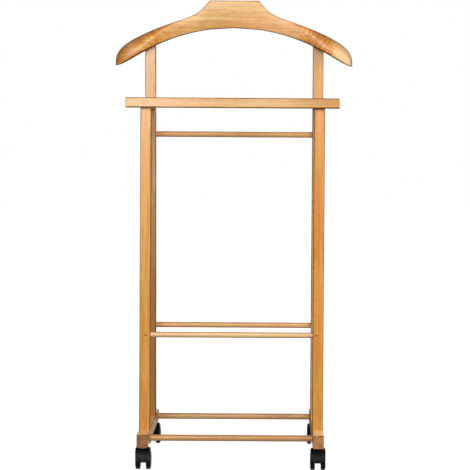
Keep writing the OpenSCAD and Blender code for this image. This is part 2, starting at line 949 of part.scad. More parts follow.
module hood_housing() {
    intersection() {
        side_plate(0, castor_w)
            housing_side();
        translate([0, castor_w, 0])
            rotate([90, 0, 0])
                linear_extrude(2 * castor_w)
                    housing_front();
        translate([-castor_w / 2, -castor_trail - boss_d / 2, -1])
            linear_extrude(castor_h)
                round_rect(castor_w, 2 * castor_w, hood_corner_r);
    }
}

module castor_hood(side, end) {
    color(black)
        at_castor(side, end)
            difference() {
                union() {
                    hood_housing();
                    along_x()
                        rotate([0, 0, 90 + hood_tail_angle])
                            rotate_extrude(angle = hood_front_angle - hood_tail_angle, $fn = 96)
                                hood_section();
                    side_plate(0, web_w)
                        hood_web();
                }
                for (s = [-1, 1])
                    translate([s * (web_w / 2 + castor_w / 2), 0, 0])
                        along_x()
                            cylinder(h = castor_w, r = wheel_d / 2 + tread_gap, center = true);
                translate([0, -castor_trail, stem_foot - wheel_d / 2 - glue_gap])
                    cylinder(h = castor_h, d = stem_d + 2 * glue_gap);
                along_x()
                    cylinder(h = 2 * castor_w, d = axle_d + 2 * glue_gap, center = true);
            }
}

module castor_axle(side, end) {
    r = axle_d / 2;
    groove = axle_half - snap_from_end;
    color(steel)
        at_castor(side, end)
            along_x()
                rotate_extrude()
                    difference() {
                        translate([0, -axle_half])
                            square([r, 2 * axle_half]);
                        for (s = [-1, 1])
                            translate([r - snap_in, s * groove - snap_w / 2])
                                square([snap_in + 1, snap_w]);
                    }
}

// A wheel is a rim, a disc dished on its outer face and a hub, with ribs in its hollow side
hub_r = axle_d / 2 + 2.6;
rim_t = 3.4;
disc_t = 2.6;
dish = 0.8;
rib_count = 8;
rib_t = 1.4;
// How far the ribs stay below the wheel's inner face
rib_step = 1.6;

// Section of a wheel as [radius, along the axle], with its inner face at 0
module wheel_section() {
    r = wheel_d / 2;
    tread_r = 3.2;
    inner_r = 1.2;
    dish_from = hub_r + 1.4;
    dish_to = r - 6.2;
    bore_r = axle_d / 2 + run_gap;
    bore_depth = axle_half - wheel_gap / 2 + side_gap;
    snap_at = axle_half - snap_from_end - wheel_gap / 2;
    ridge_w = snap_w - 0.4;
    difference() {
        square([r, wheel_w]);
        corner_cut(r - tread_r, wheel_w - tread_r, tread_r, 0, 90);
        corner_cut(r - inner_r, inner_r, inner_r, 270, 360);
        translate([hub_r, -1])
            square([r - rim_t - hub_r, 1 + wheel_w - dish - disc_t]);
        translate([dish_from, wheel_w - dish])
            square([dish_to - dish_from, 1 + dish]);
        difference() {
            translate([-1, -1])
                square([1 + bore_r, 1 + bore_depth]);
            translate([bore_r - snap_in, snap_at - ridge_w / 2])
                square([snap_in + 1, ridge_w]);
        }
    }
}

// Ribs in the hollow side of a wheel, from its hub to its rim
module wheel_ribs() {
    reach = wheel_d / 2 - rim_t - hub_r;
    for (i = [0 : rib_count - 1])
        rotate([0, 0, 360 * i / rib_count])
            translate([hub_r - 0.5, -rib_t / 2, rib_step])
                cube([reach + 1, rib_t, wheel_w - dish - disc_t - rib_step + 0.5]);
}

// Side is the castor's, and away is 1 for the wheel on its outer side and -1 for the inner one
module castor_wheel(side, end, away) {
    turn = side * away;
    color(black)
        at_castor(side, end)
            mirror([turn < 0 ? 1 : 0, 0, 0])
                translate([wheel_gap / 2, 0, 0])
                    along_x() {
                        rotate_extrude($fn = 96)
                            wheel_section();
                        wheel_ribs();
                    }
}

// ---- Everything by name ---------------------------------------------------------------------

foot_beam(LEFT);  // left_foot_beam
foot_beam(RIGHT);  // right_foot_beam
front_leg(LEFT);  // left_front_leg
front_leg(RIGHT);  // right_front_leg
rear_post(LEFT);  // left_rear_post
rear_post(RIGHT);  // right_rear_post
side_arm(LEFT);  // left_side_arm
side_arm(RIGHT);  // right_side_arm
hanger();
trouser_bar();
top_rail();
middle_front_rail();
middle_rear_rail();
foot_front_rail();
foot_rear_rail();
hanger_screws();
hanger_dowels();
bar_screws();
bar_plugs();
foot_dowels();
arm_dowels();
rail_brads();
castor_socket(LEFT, FRONT);  // front_left_castor_socket
castor_socket(RIGHT, FRONT);  // front_right_castor_socket
castor_socket(LEFT, REAR);  // rear_left_castor_socket
castor_socket(RIGHT, REAR);  // rear_right_castor_socket
castor_stem(LEFT, FRONT);  // front_left_castor_stem
castor_stem(RIGHT, FRONT);  // front_right_castor_stem
castor_stem(LEFT, REAR);  // rear_left_castor_stem
castor_stem(RIGHT, REAR);  // rear_right_castor_stem
castor_hood(LEFT, FRONT);  // front_left_castor_hood
castor_hood(RIGHT, FRONT);  // front_right_castor_hood
castor_hood(LEFT, REAR);  // rear_left_castor_hood
castor_hood(RIGHT, REAR);  // rear_right_castor_hood
castor_axle(LEFT, FRONT);  // front_left_castor_axle
castor_axle(RIGHT, FRONT);  // front_right_castor_axle
castor_axle(LEFT, REAR);  // rear_left_castor_axle
castor_axle(RIGHT, REAR);  // rear_right_castor_axle
castor_wheel(LEFT, FRONT, 1);  // front_left_castor_outer_wheel
castor_wheel(LEFT, FRONT, -1);  // front_left_castor_inner_wheel
castor_wheel(RIGHT, FRONT, 1);  // front_right_castor_outer_wheel
castor_wheel(RIGHT, FRONT, -1);  // front_right_castor_inner_wheel
castor_wheel(LEFT, REAR, 1);  // rear_left_castor_outer_wheel
castor_wheel(LEFT, REAR, -1);  // rear_left_castor_inner_wheel
castor_wheel(RIGHT, REAR, 1);  // rear_right_castor_outer_wheel
castor_wheel(RIGHT, REAR, -1);  // rear_right_castor_inner_wheel
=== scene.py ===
"""The looks of a beech clothes valet stand on castors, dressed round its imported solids.

Each wooden piece gets a varnished beech finish whose grain runs along that piece.  Two pieces stand
for their solids: the jacket hanger, a smooth copy of its own, and the pair of screws behind it,
which have a cross in each head.  Lengths are metres, the front faces -Y and +Z is up.
"""
import logging
import math
from dataclasses import dataclass, field, replace
from enum import Enum
from typing import Any, ClassVar, Union

import bmesh
import bpy
from mathutils import Euler, Matrix, Vector


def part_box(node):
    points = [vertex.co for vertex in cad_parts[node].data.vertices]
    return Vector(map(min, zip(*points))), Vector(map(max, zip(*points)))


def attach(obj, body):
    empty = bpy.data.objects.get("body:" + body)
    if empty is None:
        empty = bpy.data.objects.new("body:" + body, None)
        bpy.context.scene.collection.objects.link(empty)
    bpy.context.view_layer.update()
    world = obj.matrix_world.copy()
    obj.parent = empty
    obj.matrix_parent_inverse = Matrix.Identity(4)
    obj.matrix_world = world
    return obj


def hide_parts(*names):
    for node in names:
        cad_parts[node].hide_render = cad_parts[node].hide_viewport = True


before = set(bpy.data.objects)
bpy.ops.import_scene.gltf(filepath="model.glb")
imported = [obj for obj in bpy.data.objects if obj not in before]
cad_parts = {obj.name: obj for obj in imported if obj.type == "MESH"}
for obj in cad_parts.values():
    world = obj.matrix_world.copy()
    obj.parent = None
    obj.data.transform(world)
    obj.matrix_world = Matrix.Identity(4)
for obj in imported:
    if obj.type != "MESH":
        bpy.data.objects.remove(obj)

LOG = logging.getLogger("valet_stand")
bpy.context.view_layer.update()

MM = 0.001
Point = tuple[float, float, float]
Colour = tuple[float, float, float]
Span = tuple[float, float]
Socket = bpy.types.NodeSocket
Outputs = bpy.types.NodeOutputs
Value = Union[float, tuple, Socket]


# ---- Node trees ----------------------------------------------------------------------------------


def rgba(colour: Colour) -> tuple[float, float, float, float]:
    """Adds a full alpha to a linear colour."""
    return (*colour, 1.0)


class Graph:
    """Adds nodes to one node tree and wires them."""

    def __init__(self, tree: bpy.types.NodeTree) -> None:
        """Keeps the tree.

        Args:
            tree: The node tree of a material, a world or a group.
        """
        self.tree = tree

    def feed(self, node: bpy.types.Node, inputs: dict[Any, Value]) -> None:
        """Feeds a node's inputs.

        Args:
            node: The node.
            inputs: Input name or number, and the constant or socket that feeds it.
        """
        for key, value in inputs.items():
            if isinstance(value, Socket):
                self.tree.links.new(value, node.inputs[key])
            else:
                node.inputs[key].default_value = value

    def add(
        self, kind: str, inputs: dict[Any, Value] | None = None, **settings: Any
    ) -> bpy.types.Node:
        """Adds a node and feeds its inputs.

        Args:
            kind: Blender's name for the node's type.
            inputs: Input name or number, and the constant or socket that feeds it.
            **settings: The node's own properties.

        Returns:
            The new node.
        """
        node = self.tree.nodes.new(kind)
        for name, value in settings.items():
            setattr(node, name, value)
        self.feed(node, inputs or {})
        return node

    def math(self, operation: str, *values: Value, clamp: bool = False) -> Socket:
        """Returns the result of a Math node on the given values."""
        inputs = dict(enumerate(values))
        return self.add("ShaderNodeMath", inputs, operation=operation, use_clamp=clamp).outputs[0]

    def times(self, a: Value, b: Value) -> Socket:
        """Returns the product of two values."""
        return self.math("MULTIPLY", a, b)

    def scale_add(self, value: Value, scale: Value, base: Value) -> Socket:
        """Returns a scaled value on top of a base."""
        return self.math("MULTIPLY_ADD", value, scale, base)

    def vector(self, operation: str, *values: Value, output: str = "Vector") -> Socket:
        """Returns one output of a Vector Math node on the given values."""
        inputs = dict(enumerate(values))
        return self.add("ShaderNodeVectorMath", inputs, operation=operation).outputs[output]

    def length(self, vector: Value) -> Socket:
        """Returns the length of a vector."""
        return self.vector("LENGTH", vector, output="Value")

    def split(self, vector: Value) -> Outputs:
        """Returns the X, Y and Z of a vector."""
        return self.add("ShaderNodeSeparateXYZ", {0: vector}).outputs

    def about_zero(self, value: Value) -> Socket:
        """Moves a value of 0 to 1 down to the middle."""
        return self.math("SUBTRACT", value, 0.5)

    def mix(self, factor: Value, a: Value, b: Value, mode: str = "MIX") -> Socket:
        """Blends two colours.

        Args:
            factor: Share of the second colour.
            a: First colour.
            b: Second colour.
            mode: Blending mode of the Mix node.

        Returns:
            The colour that comes out.
        """
        inputs = {0: factor, 6: a, 7: b}
        return self.add("ShaderNodeMix", inputs, data_type="RGBA", blend_type=mode).outputs[2]

    def tint(self, share: Value, colour: Value, tint: Colour) -> Socket:
        """Returns a colour multiplied by a tint, as far as the share says."""
        return self.mix(share, colour, rgba(tint), "MULTIPLY")

    def ramp(self, value: Value, low: float, high: float) -> Socket:
        """Returns a smooth step of a value, from 0 at low to 1 at high."""
        inputs = {"Value": value, "From Min": low, "From Max": high}
        return self.add("ShaderNodeMapRange", inputs, interpolation_type="SMOOTHSTEP").outputs[0]

    def noise(
        self, vector: Value, stretch: Point, detail: float = 2.0, output: str = "Fac"
    ) -> Socket:
        """Adds a noise with its own number of features per metre along each axis.

        Args:
            vector: Point in metres.
            stretch: Features per metre along X, Y and Z.
            detail: Octaves of the noise.
            output: Which of the noise's outputs is wanted.

        Returns:
            The output, from 0 to 1.
        """
        scaled = self.vector("MULTIPLY", vector, stretch)
        inputs = {"Vector": scaled, "Scale": 1.0, "Detail": detail}
        return self.add("ShaderNodeTexNoise", inputs).outputs[output]

    def wander(self, vector: Value, stretch: Point, detail: float, reach: Point) -> Socket:
        """Makes a small move that changes from place to place.

        Args:
            vector: Point in metres.
            stretch: Features per metre along X, Y and Z.
            detail: Octaves of the noise.
            reach: Size of the move along X, Y and Z.

        Returns:
            The move, about zero.
        """
        anyhow = self.noise(vector, stretch, detail, "Color")
        return self.vector("MULTIPLY", self.vector("SUBTRACT", anyhow, (0.5, 0.5, 0.5)), reach)

    def bump(self, height: Value, strength: float, distance: float) -> Socket:
        """Returns the normal of a relief, with its depth in metres."""
        inputs = {"Height": height, "Strength": strength, "Distance": distance}
        return self.add("ShaderNodeBump", inputs).outputs[0]

    def seen(self) -> Socket:
        """Tells rays that show the surround from those that only carry its light.

        Returns:
            1 for a ray that shows it, directly or in metal or glass, and 0 for another.
        """
        rays = self.add("ShaderNodeLightPath").outputs
        direct = self.math("MAXIMUM", rays["Is Camera Ray"], rays["Is Transmission Ray"])
        return self.math("MAXIMUM", direct, rays["Is Glossy Ray"])


def fresh_graph(owner: bpy.types.Material | bpy.types.World) -> Graph:
    """Empties the node tree of a material or a world.

    Args:
        owner: The material or the world.

    Returns:
        The graph of its tree.
    """
    owner.use_nodes = True
    owner.node_tree.nodes.clear()
    return Graph(owner.node_tree)


class Kind(Enum):
    """What a socket of a shared effect carries."""

    NUMBER = "NodeSocketFloat"
    COLOUR = "NodeSocketColor"
    VECTOR = "NodeSocketVector"


class Effect:
    """A shader node group that several materials share."""

    def __init__(self, name: str, inputs: dict[str, Kind], outputs: dict[str, Kind]) -> None:
        """Makes the group and its sockets.

        Args:
            name: The group's name.
            inputs: Each input's name and kind.
            outputs: Each output's name and kind.
        """
        self.group = bpy.data.node_groups.new(name, "ShaderNodeTree")
        for way, sockets in (("INPUT", inputs), ("OUTPUT", outputs)):
            for label, kind in sockets.items():
                self.group.interface.new_socket(name=label, in_out=way, socket_type=kind.value)
        self.graph = Graph(self.group)
        self.given = self.graph.add("NodeGroupInput").outputs

    def give(self, results: dict[str, Value]) -> None:
        """Wires the group's results to its outputs."""
        self.graph.add("NodeGroupOutput", results)

    def place(self, graph: Graph, inputs: dict[str, Value]) -> Outputs:
        """Places the group in a material, with values for all its inputs.

        Args:
            graph: The material's graph.
            inputs: The values for this material.

        Returns:
            The placed group's outputs.
        """
        return graph.add("ShaderNodeGroup", inputs, node_tree=self.group).outputs


# ---- Shared effects ------------------------------------------------------------------------------


class BeechGrain(Effect):
    """Growth rings, fine lines, ray flecks and end grain of beech, with the grain along Z, plus
    painted shade and light.
    """

    # Features per metre of each pattern, along X, Y and Z.
    FIBRES = (640.0, 640.0, 14.0)
    RAYS = (1150.0, 420.0, 170.0)
    PATCHES = (26.0, 26.0, 6.5)
    MOTTLE = (150.0, 150.0, 60.0)
    RING_DRIFT = (6.0, 6.0, 2.2)
    RING_WIDTHS = (16.0, 16.0, 3.5)
    RING_BREAKS = (60.0, 60.0, 9.0)
    FINE_LINES = (210.0, 210.0, 8.0)
    BROAD_LINES = (70.0, 70.0, 3.2)
    ARRIS_SHADE_BREAKS = (90.0, 90.0, 22.0)
    STROKES = (260.0, 40.0, 30.0)
    WARM_PLACES = (17.0, 17.0, 5.0)
    PORES = (900.0, 900.0, 60.0)
    END_STAIN = (75.0, 75.0, 20.0)

    # How far the patterns move with each whole step of the seed, in metres.
    SEED_STEP = (3.1, 5.7, 1.3)
    # The whole width in which the rings wander across the grain, in metres.
    RING_REACH = (0.02, 0.02, 0.0)
    # How many rings the uneven growth adds at most.
    EXTRA_RINGS = 2.2

    # Tints that multiply a colour.
    AMBER = (1.05, 0.97, 0.68)
    PALE_AND_LIT = (1.05, 1.20, 1.45)
    FLECK = (0.66, 0.55, 0.45)
    TURNED_AWAY_SHADE = (0.50, 0.40, 0.32)
    ARRIS_SHADE = (0.30, 0.18, 0.09)
    PINK = (1.04, 0.975, 1.02)
    YELLOW = (0.975, 1.02, 0.90)
    END_DARK = (0.42, 0.34, 0.31)
    END_LIGHT = (0.70, 0.62, 0.56)

    # Soft steps of a noise, from none to full.
    RAY_STEP = (0.60, 0.72)
    BREAK_STEP = (0.30, 0.62)
    LINE_STEP = (0.30, 0.70)
    BROAD_STEP = (0.25, 0.75)
    SHADE_BREAK_STEP = (0.15, 0.5)
    WARM_STEP = (0.32, 0.68)
    STAIN_STEP = (0.35, 0.65)

    # Soft steps over the width of one ring.
    LATE_WOOD = (0.15, 0.90)
    RING_END = (1.0, 0.91)

    # Soft steps of one part of the normal, or of its largest part.
    TURNED_AWAY_STEP = (0.96, 0.35)
    ARRIS_STEP = (0.985, 0.86)
    RUBBED_STEP = (0.997, 0.95)
    END_STEP = (0.72, 0.95)

    # Soft steps along a bowed piece, in metres from its middle, and the circle of its bow.
    # Painted shade over the bends, most on the right, and at the left tip, partly end-grain stain;
    # a painted highlight, partly pale wood, at the right tip.
    BEND_IN = (0.125, 0.175)
    BEND_OUT = (0.232, 0.208)
    SIDE_STEP = (-0.1, 0.1)
    PALE_AND_LIT_TIP = (0.204, 0.240)
    PALE_TIP = (0.196, 0.234)
    DARK_TIP = (-0.215, -0.245)
    BOW_CENTRE = 0.36
    BOW_RADIUS = 0.4

    def __init__(self) -> None:
        """Builds the group."""
        vectors = ("Vector", "Normal")
        colours = ("Pale", "Deep", "Sawn")
        masks = ("Height", "End", "Worn")
        numbers = (
            *("Ring Width", "Figure", "Streaks", "Flecks", "Clouds", "Sides"),
            *("Depth", "Drift", "Arris", "Curl", "Seed"),
        )
        super().__init__(
            "beech_grain",
            {
                **dict.fromkeys(vectors, Kind.VECTOR),
                **dict.fromkeys(colours, Kind.COLOUR),
                **dict.fromkeys(numbers, Kind.NUMBER),
            },
            {"Color": Kind.COLOUR, **dict.fromkeys(masks, Kind.NUMBER)},
        )
        graph, given = self.graph, self.given
        step = {0: self.SEED_STEP, "Scale": given["Seed"]}
        away = graph.add("ShaderNodeVectorMath", step, operation="SCALE").outputs[0]
        point = graph.vector("ADD", given["Vector"], away)
        along = graph.split(given["Vector"])["Z"]
        rings = self.rings(given["Vector"], point)
        fibres = graph.noise(point, self.FIBRES)
        curl, bend = self.curl()
        share = given["Depth"]
        for value, weight in (
            (rings, "Figure"),
            (self.lines(point), "Streaks"),
            (graph.about_zero(fibres), "Streaks"),
            (graph.about_zero(graph.noise(point, self.PATCHES, 3.0)), "Clouds"),
            (graph.about_zero(graph.noise(point, self.MOTTLE)), "Clouds"),
            (along, "Drift"),
            (curl, "Curl"),
        ):
            share = graph.scale_add(value, given[weight], share)
        share = graph.math("ADD", share, 0.0, clamp=True)
        tone = self.warmth(point, graph.mix(share, given["Pale"], given["Deep"]))
        # Painted shade: the bends take an amber tint. Painted highlight, partly pale wood: the
        # right tip is lightened.
        tone = graph.tint(graph.times(bend, given["Curl"]), tone, self.AMBER)
        tip = graph.times(graph.ramp(along, *self.PALE_AND_LIT_TIP), given["Curl"])
        tone, rubbed = self.sides(graph.tint(tip, tone, self.PALE_AND_LIT))
        rays = graph.ramp(graph.noise(point, self.RAYS, 1.0), *self.RAY_STEP)
        fleck = graph.times(rays, given["Flecks"])
        tone = graph.tint(fleck, tone, self.FLECK)
        end = self.end_mask()
        raised, sunk = graph.times(fibres, 0.7), graph.times(fleck, 0.5)
        self.give(
            {
                "Color": graph.mix(end, tone, self.sawn(point, rings)),
                "Height": graph.math("SUBTRACT", raised, sunk),
                "End": end,
                "Worn": rubbed,
            }
        )

    def rings(self, place: Socket, point: Socket) -> Socket:
        """Draws the late wood of the growth rings, each ring with its own depth of colour.

        Args:
            place: Point in the log, in metres.
            point: The same point, moved by the seed.

        Returns:
            A mask that is highest on the dark line of each ring.
        """
        graph = self.graph
        drift = graph.wander(point, self.RING_DRIFT, 3.0, self.RING_REACH)
        parts = graph.split(graph.vector("ADD", place, drift))
        flat = graph.add("ShaderNodeCombineXYZ", {"X": parts["X"], "Y": parts["Y"]}).outputs[0]
        count = graph.math("DIVIDE", graph.length(flat), self.given["Ring Width"])
        uneven = graph.noise(point, self.RING_WIDTHS)
        count = graph.scale_add(uneven, self.EXTRA_RINGS, count)
        number = {"W": graph.math("ADD", graph.math("FLOOR", count), self.given["Seed"])}
        own = graph.add("ShaderNodeTexWhiteNoise", number, noise_dimensions="1D").outputs["Value"]
        phase = graph.math("FRACT", count)
        rise, fall = graph.ramp(phase, *self.LATE_WOOD), graph.ramp(phase, *self.RING_END)
        band = graph.times(rise, fall)
        broken = graph.ramp(graph.noise(point, self.RING_BREAKS), *self.BREAK_STEP)
        return graph.times(graph.times(band, own), broken)

    def lines(self, point: Socket) -> Socket:
        """Draws long lines along the grain, fine ones over broad ones.

        Args:
            point: Point in the piece, in metres.

        Returns:
            A value about zero.
        """
        graph, fine_share, broad_share = self.graph, 0.8, 0.5
        fine = graph.ramp(graph.noise(point, self.FINE_LINES, 3.0), *self.LINE_STEP)
        broad = graph.ramp(graph.noise(point, self.BROAD_LINES), *self.BROAD_STEP)
        broad = graph.times(broad, broad_share)
        both = graph.scale_add(fine, fine_share, broad)
        return graph.math("SUBTRACT", both, (fine_share + broad_share) / 2)

    def sides(self, tone: Socket) -> tuple[Socket, Socket]:
        """Paints shade as a deeper tone on the faces turned away from the front and along the
        arrises.

        Args:
            tone: Colour of the flat faces.

        Returns:
            The colour, and the mask of the arrises where the varnish is rubbed.
        """
        graph, given = self.graph, self.given
        parts = graph.split(graph.vector("ABSOLUTE", given["Normal"]))
        # Painted shade: faces turned away from the front take a deeper tone.
        turned_away = graph.ramp(parts["Y"], *self.TURNED_AWAY_STEP)
        tone = graph.tint(graph.times(turned_away, given["Sides"]), tone, self.TURNED_AWAY_SHADE)
        # Painted shade along the arrises, broken up by a noise; the rubbed mask only thins the
        # varnish.
        square = graph.math("MAXIMUM", graph.math("MAXIMUM", parts["X"], parts["Y"]), parts["Z"])
        worn = graph.ramp(graph.noise(given["Vector"], self.ARRIS_SHADE_BREAKS), *self.SHADE_BREAK_STEP)
        arris = graph.times(graph.ramp(square, *self.ARRIS_STEP), worn)
        tone = graph.tint(graph.times(arris, given["Arris"]), tone, self.ARRIS_SHADE)
        rubbed = graph.ramp(square, *self.RUBBED_STEP)
        return tone, graph.times(rubbed, given["Arris"])

    def curl(self) -> tuple[Socket, Socket]:
        """Draws the figure of a bowed piece, painted shade on the bends and left tip, pale and lit
        at the right.

        Returns:
            A value about zero, for the share of the deep tone, and the mask of the bends.
        """
        graph = self.graph
        parts = graph.split(self.given["Vector"])
        below = graph.math("SUBTRACT", self.BOW_CENTRE, parts["X"])
        angle = graph.math("ARCTAN2", parts["Z"], below)
        arc = graph.times(angle, self.BOW_RADIUS)
        bowed = {"X": arc, "Y": parts["Y"], "Z": parts["X"]}
        polar = graph.add("ShaderNodeCombineXYZ", bowed).outputs[0]
        strokes = graph.ramp(graph.noise(polar, self.STROKES), *self.LINE_STEP)
        reach = graph.math("ABSOLUTE", parts["Z"])
        start, stop = graph.ramp(reach, *self.BEND_IN), graph.ramp(reach, *self.BEND_OUT)
        bend = graph.times(start, stop)
        # The right bend takes more painted shade than the left.
        uneven = graph.scale_add(graph.ramp(parts["Z"], *self.SIDE_STEP), 0.72, 0.50)
        # Right tip: painted highlight, partly pale wood. Left tip: painted shade, partly end-grain
        # stain.
        pale_tip = graph.times(graph.ramp(parts["Z"], *self.PALE_TIP), -1.1)
        dark_tip = graph.times(graph.ramp(parts["Z"], *self.DARK_TIP), 0.55)
        depth = graph.scale_add(strokes, 0.70, 0.20)
        figure = graph.times(depth, graph.times(bend, uneven))
        return graph.math("ADD", figure, graph.math("ADD", pale_tip, dark_tip)), bend

    def warmth(self, point: Socket, tone: Socket) -> Socket:
        """Shifts a tone a little towards pink in some places and towards yellow in others.

        Args:
            point: Point in the piece, in metres.
            tone: The colour.

        Returns:
            The shifted colour.
        """
        graph = self.graph
        where = graph.ramp(graph.noise(point, self.WARM_PLACES), *self.WARM_STEP)
        shift = graph.mix(where, rgba(self.PINK), rgba(self.YELLOW))
        return graph.mix(1.0, tone, shift, "MULTIPLY")

    def sawn(self, point: Socket, rings: Socket) -> Socket:
        """Colours the end grain, which takes up more varnish.

        Args:
            point: Point in the piece, in metres.
            rings: Mask of the growth rings.

        Returns:
            The colour.
        """
        graph, given = self.graph, self.given
        pores = graph.times(graph.noise(point, self.PORES), 0.5)
        tone = graph.mix(pores, given["Deep"], given["Pale"])
        tone = graph.mix(graph.times(rings, 0.9), tone, given["Deep"])
        stain = graph.ramp(graph.noise(point, self.END_STAIN, 3.0), *self.STAIN_STEP)
        shade = graph.mix(stain, rgba(self.END_DARK), rgba(self.END_LIGHT))
        tone = graph.mix(1.0, tone, shade, "MULTIPLY")
        return graph.mix(1.0, tone, given["Sawn"], "MULTIPLY")

    def end_mask(self) -> Socket:
        """Returns a mask that is 1 where the surface cuts across the grain."""
        lean = self.graph.split(self.given["Normal"])["Z"]
        return self.graph.ramp(self.graph.math("ABSOLUTE", lean), *self.END_STEP)


class BrokenEdge(Effect):
    """A mask along edges: dust gathers there on the plastic, and the wood takes painted edge shade
    there.
    """

    SAMPLES = 6
    TURN_STEP = (0.01, 0.22)
    BREAKS = (70.0, 70.0, 70.0)
    BREAK_STEP = (0.25, 0.6)

    def __init__(self) -> None:
        """Builds the group."""
        inputs = {"Radius": Kind.NUMBER, "Vector": Kind.VECTOR}
        super().__init__("broken_edge", inputs, {"Mask": Kind.NUMBER})
        graph, given = self.graph, self.given
        radius = {"Radius": given["Radius"]}
        rounded = graph.add("ShaderNodeBevel", radius, samples=self.SAMPLES).outputs[0]
        true = graph.add("ShaderNodeNewGeometry").outputs["Normal"]
        agree = graph.vector("DOT_PRODUCT", rounded, true, output="Value")
        turn = graph.ramp(graph.math("SUBTRACT", 1.0, agree), *self.TURN_STEP)
        broken = graph.ramp(graph.noise(given["Vector"], self.BREAKS, 3.0), *self.BREAK_STEP)
        self.give({"Mask": graph.times(turn, broken)})


class NailStain(Effect):
    """A brown mark in wood round the head of a brad, longer across than up."""

    RAGGED = (520.0, 520.0, 520.0)
    RAGGED_REACH = (3 * MM, 3 * MM, 3 * MM)
    # One over the mark's reach in metres, along X, Y and Z.
    SHAPE = (260.0, 90.0, 480.0)
    FADE = (1.0, 0.45)
    RUST = (0.36, 0.22, 0.10)

    def __init__(self) -> None:
        """Builds the group."""
        inputs = {
            "Vector": Kind.VECTOR,
            "Color": Kind.COLOUR,
            "Place": Kind.VECTOR,
            "Strength": Kind.NUMBER,
        }
        super().__init__("nail_stain", inputs, {"Color": Kind.COLOUR})
        graph, given = self.graph, self.given
        away = graph.vector("SUBTRACT", given["Vector"], given["Place"])
        ragged = graph.wander(away, self.RAGGED, 2.0, self.RAGGED_REACH)
        away = graph.vector("MULTIPLY", graph.vector("ADD", away, ragged), self.SHAPE)
        near = graph.ramp(graph.length(away), *self.FADE)
        mask = graph.times(near, given["Strength"])
        self.give({"Color": graph.tint(mask, given["Color"], self.RUST)})


class FloorDustAndReflection(Effect):
    """Uneven pale dust, as black plastic near a floor picks up, and a pale band that is a painted
    reflection.
    """

    CLOUDS = (160.0, 160.0, 160.0)
    SPECKS = (2100.0, 2100.0, 2100.0)
    DUST_STEP = (0.44, 0.62)
    REFLECTION_PATCH_STEP = (0.35, 0.65)
    # Heights over the floor where the painted reflection band begins and ends.
    BAND_FOOT = (18 * MM, 27 * MM)
    BAND_HEAD = (42 * MM, 33 * MM)

    def __init__(self) -> None:
        """Builds the group."""
        super().__init__(
            "floor_dust_and_reflection",
            {"Vector": Kind.VECTOR, "Amount": Kind.NUMBER, "Painted Reflection": Kind.NUMBER},
            {"Mask": Kind.NUMBER, "Height": Kind.NUMBER},
        )
        graph, given = self.graph, self.given
        clouds = graph.noise(given["Vector"], self.CLOUDS, 4.0)
        specks = graph.noise(given["Vector"], self.SPECKS, 1.0)
        dust = graph.times(graph.ramp(clouds, *self.DUST_STEP), given["Amount"])
        height = graph.split(given["Vector"])["Z"]
        # Painted reflection: a pale band round the hood between these heights, patchy with the
        # clouds.
        foot, head = graph.ramp(height, *self.BAND_FOOT), graph.ramp(height, *self.BAND_HEAD)
        patchy = graph.scale_add(graph.ramp(clouds, *self.REFLECTION_PATCH_STEP), 0.6, 0.4)
        rubbed = graph.times(graph.times(foot, head), patchy)
        self.give(
            {
                "Mask": graph.scale_add(rubbed, given["Painted Reflection"], dust),
                "Height": graph.scale_add(clouds, 0.3, specks),
            }
        )


class DrawnMetal(Effect):
    """Fine turning marks round a pin or sleeve."""

    MARKS = (260.0, 260.0, 2600.0)
    BLOOM = (90.0, 90.0, 90.0)
    BLOOM_STEP = (0.35, 0.7)

    def __init__(self) -> None:
        """Builds the group."""
        outputs = {"Mask": Kind.NUMBER, "Height": Kind.NUMBER}
        super().__init__("drawn_metal", {"Vector": Kind.VECTOR}, outputs)
        graph, given = self.graph, self.given
        bloom = graph.ramp(graph.noise(given["Vector"], self.BLOOM, 3.0), *self.BLOOM_STEP)
        self.give({"Mask": bloom, "Height": graph.noise(given["Vector"], self.MARKS)})


# ---- Finishes ------------------------------------------------------------------------------------


@dataclass
class Effects:
    """The shared effects, each built once."""

    grain: BeechGrain = field(default_factory=BeechGrain)
    edge: BrokenEdge = field(default_factory=BrokenEdge)
    stain: NailStain = field(default_factory=NailStain)
    dust: FloorDustAndReflection = field(default_factory=FloorDustAndReflection)
    drawn: DrawnMetal = field(default_factory=DrawnMetal)


def new_material(name: str) -> tuple[bpy.types.Material, Graph, bpy.types.Node]:
    """Makes a node material with its shader and output.

    Args:
        name: The material's name.

    Returns:
        The material, its graph and its Principled shader.
    """
    material = bpy.data.materials.new(name)
    graph = fresh_graph(material)
    shader = graph.add("ShaderNodeBsdfPrincipled")
    graph.add("ShaderNodeOutputMaterial", {"Surface": shader.outputs[0]})
    return material, graph, shader


class Grain(Enum):
    """Which way a piece's grain runs when its side frame stands upright."""

    UP = (0.0, 0.0, 1.0)
    ACROSS = (1.0, 0.0, 0.0)
    BACK = (0.0, 1.0, 0.0)


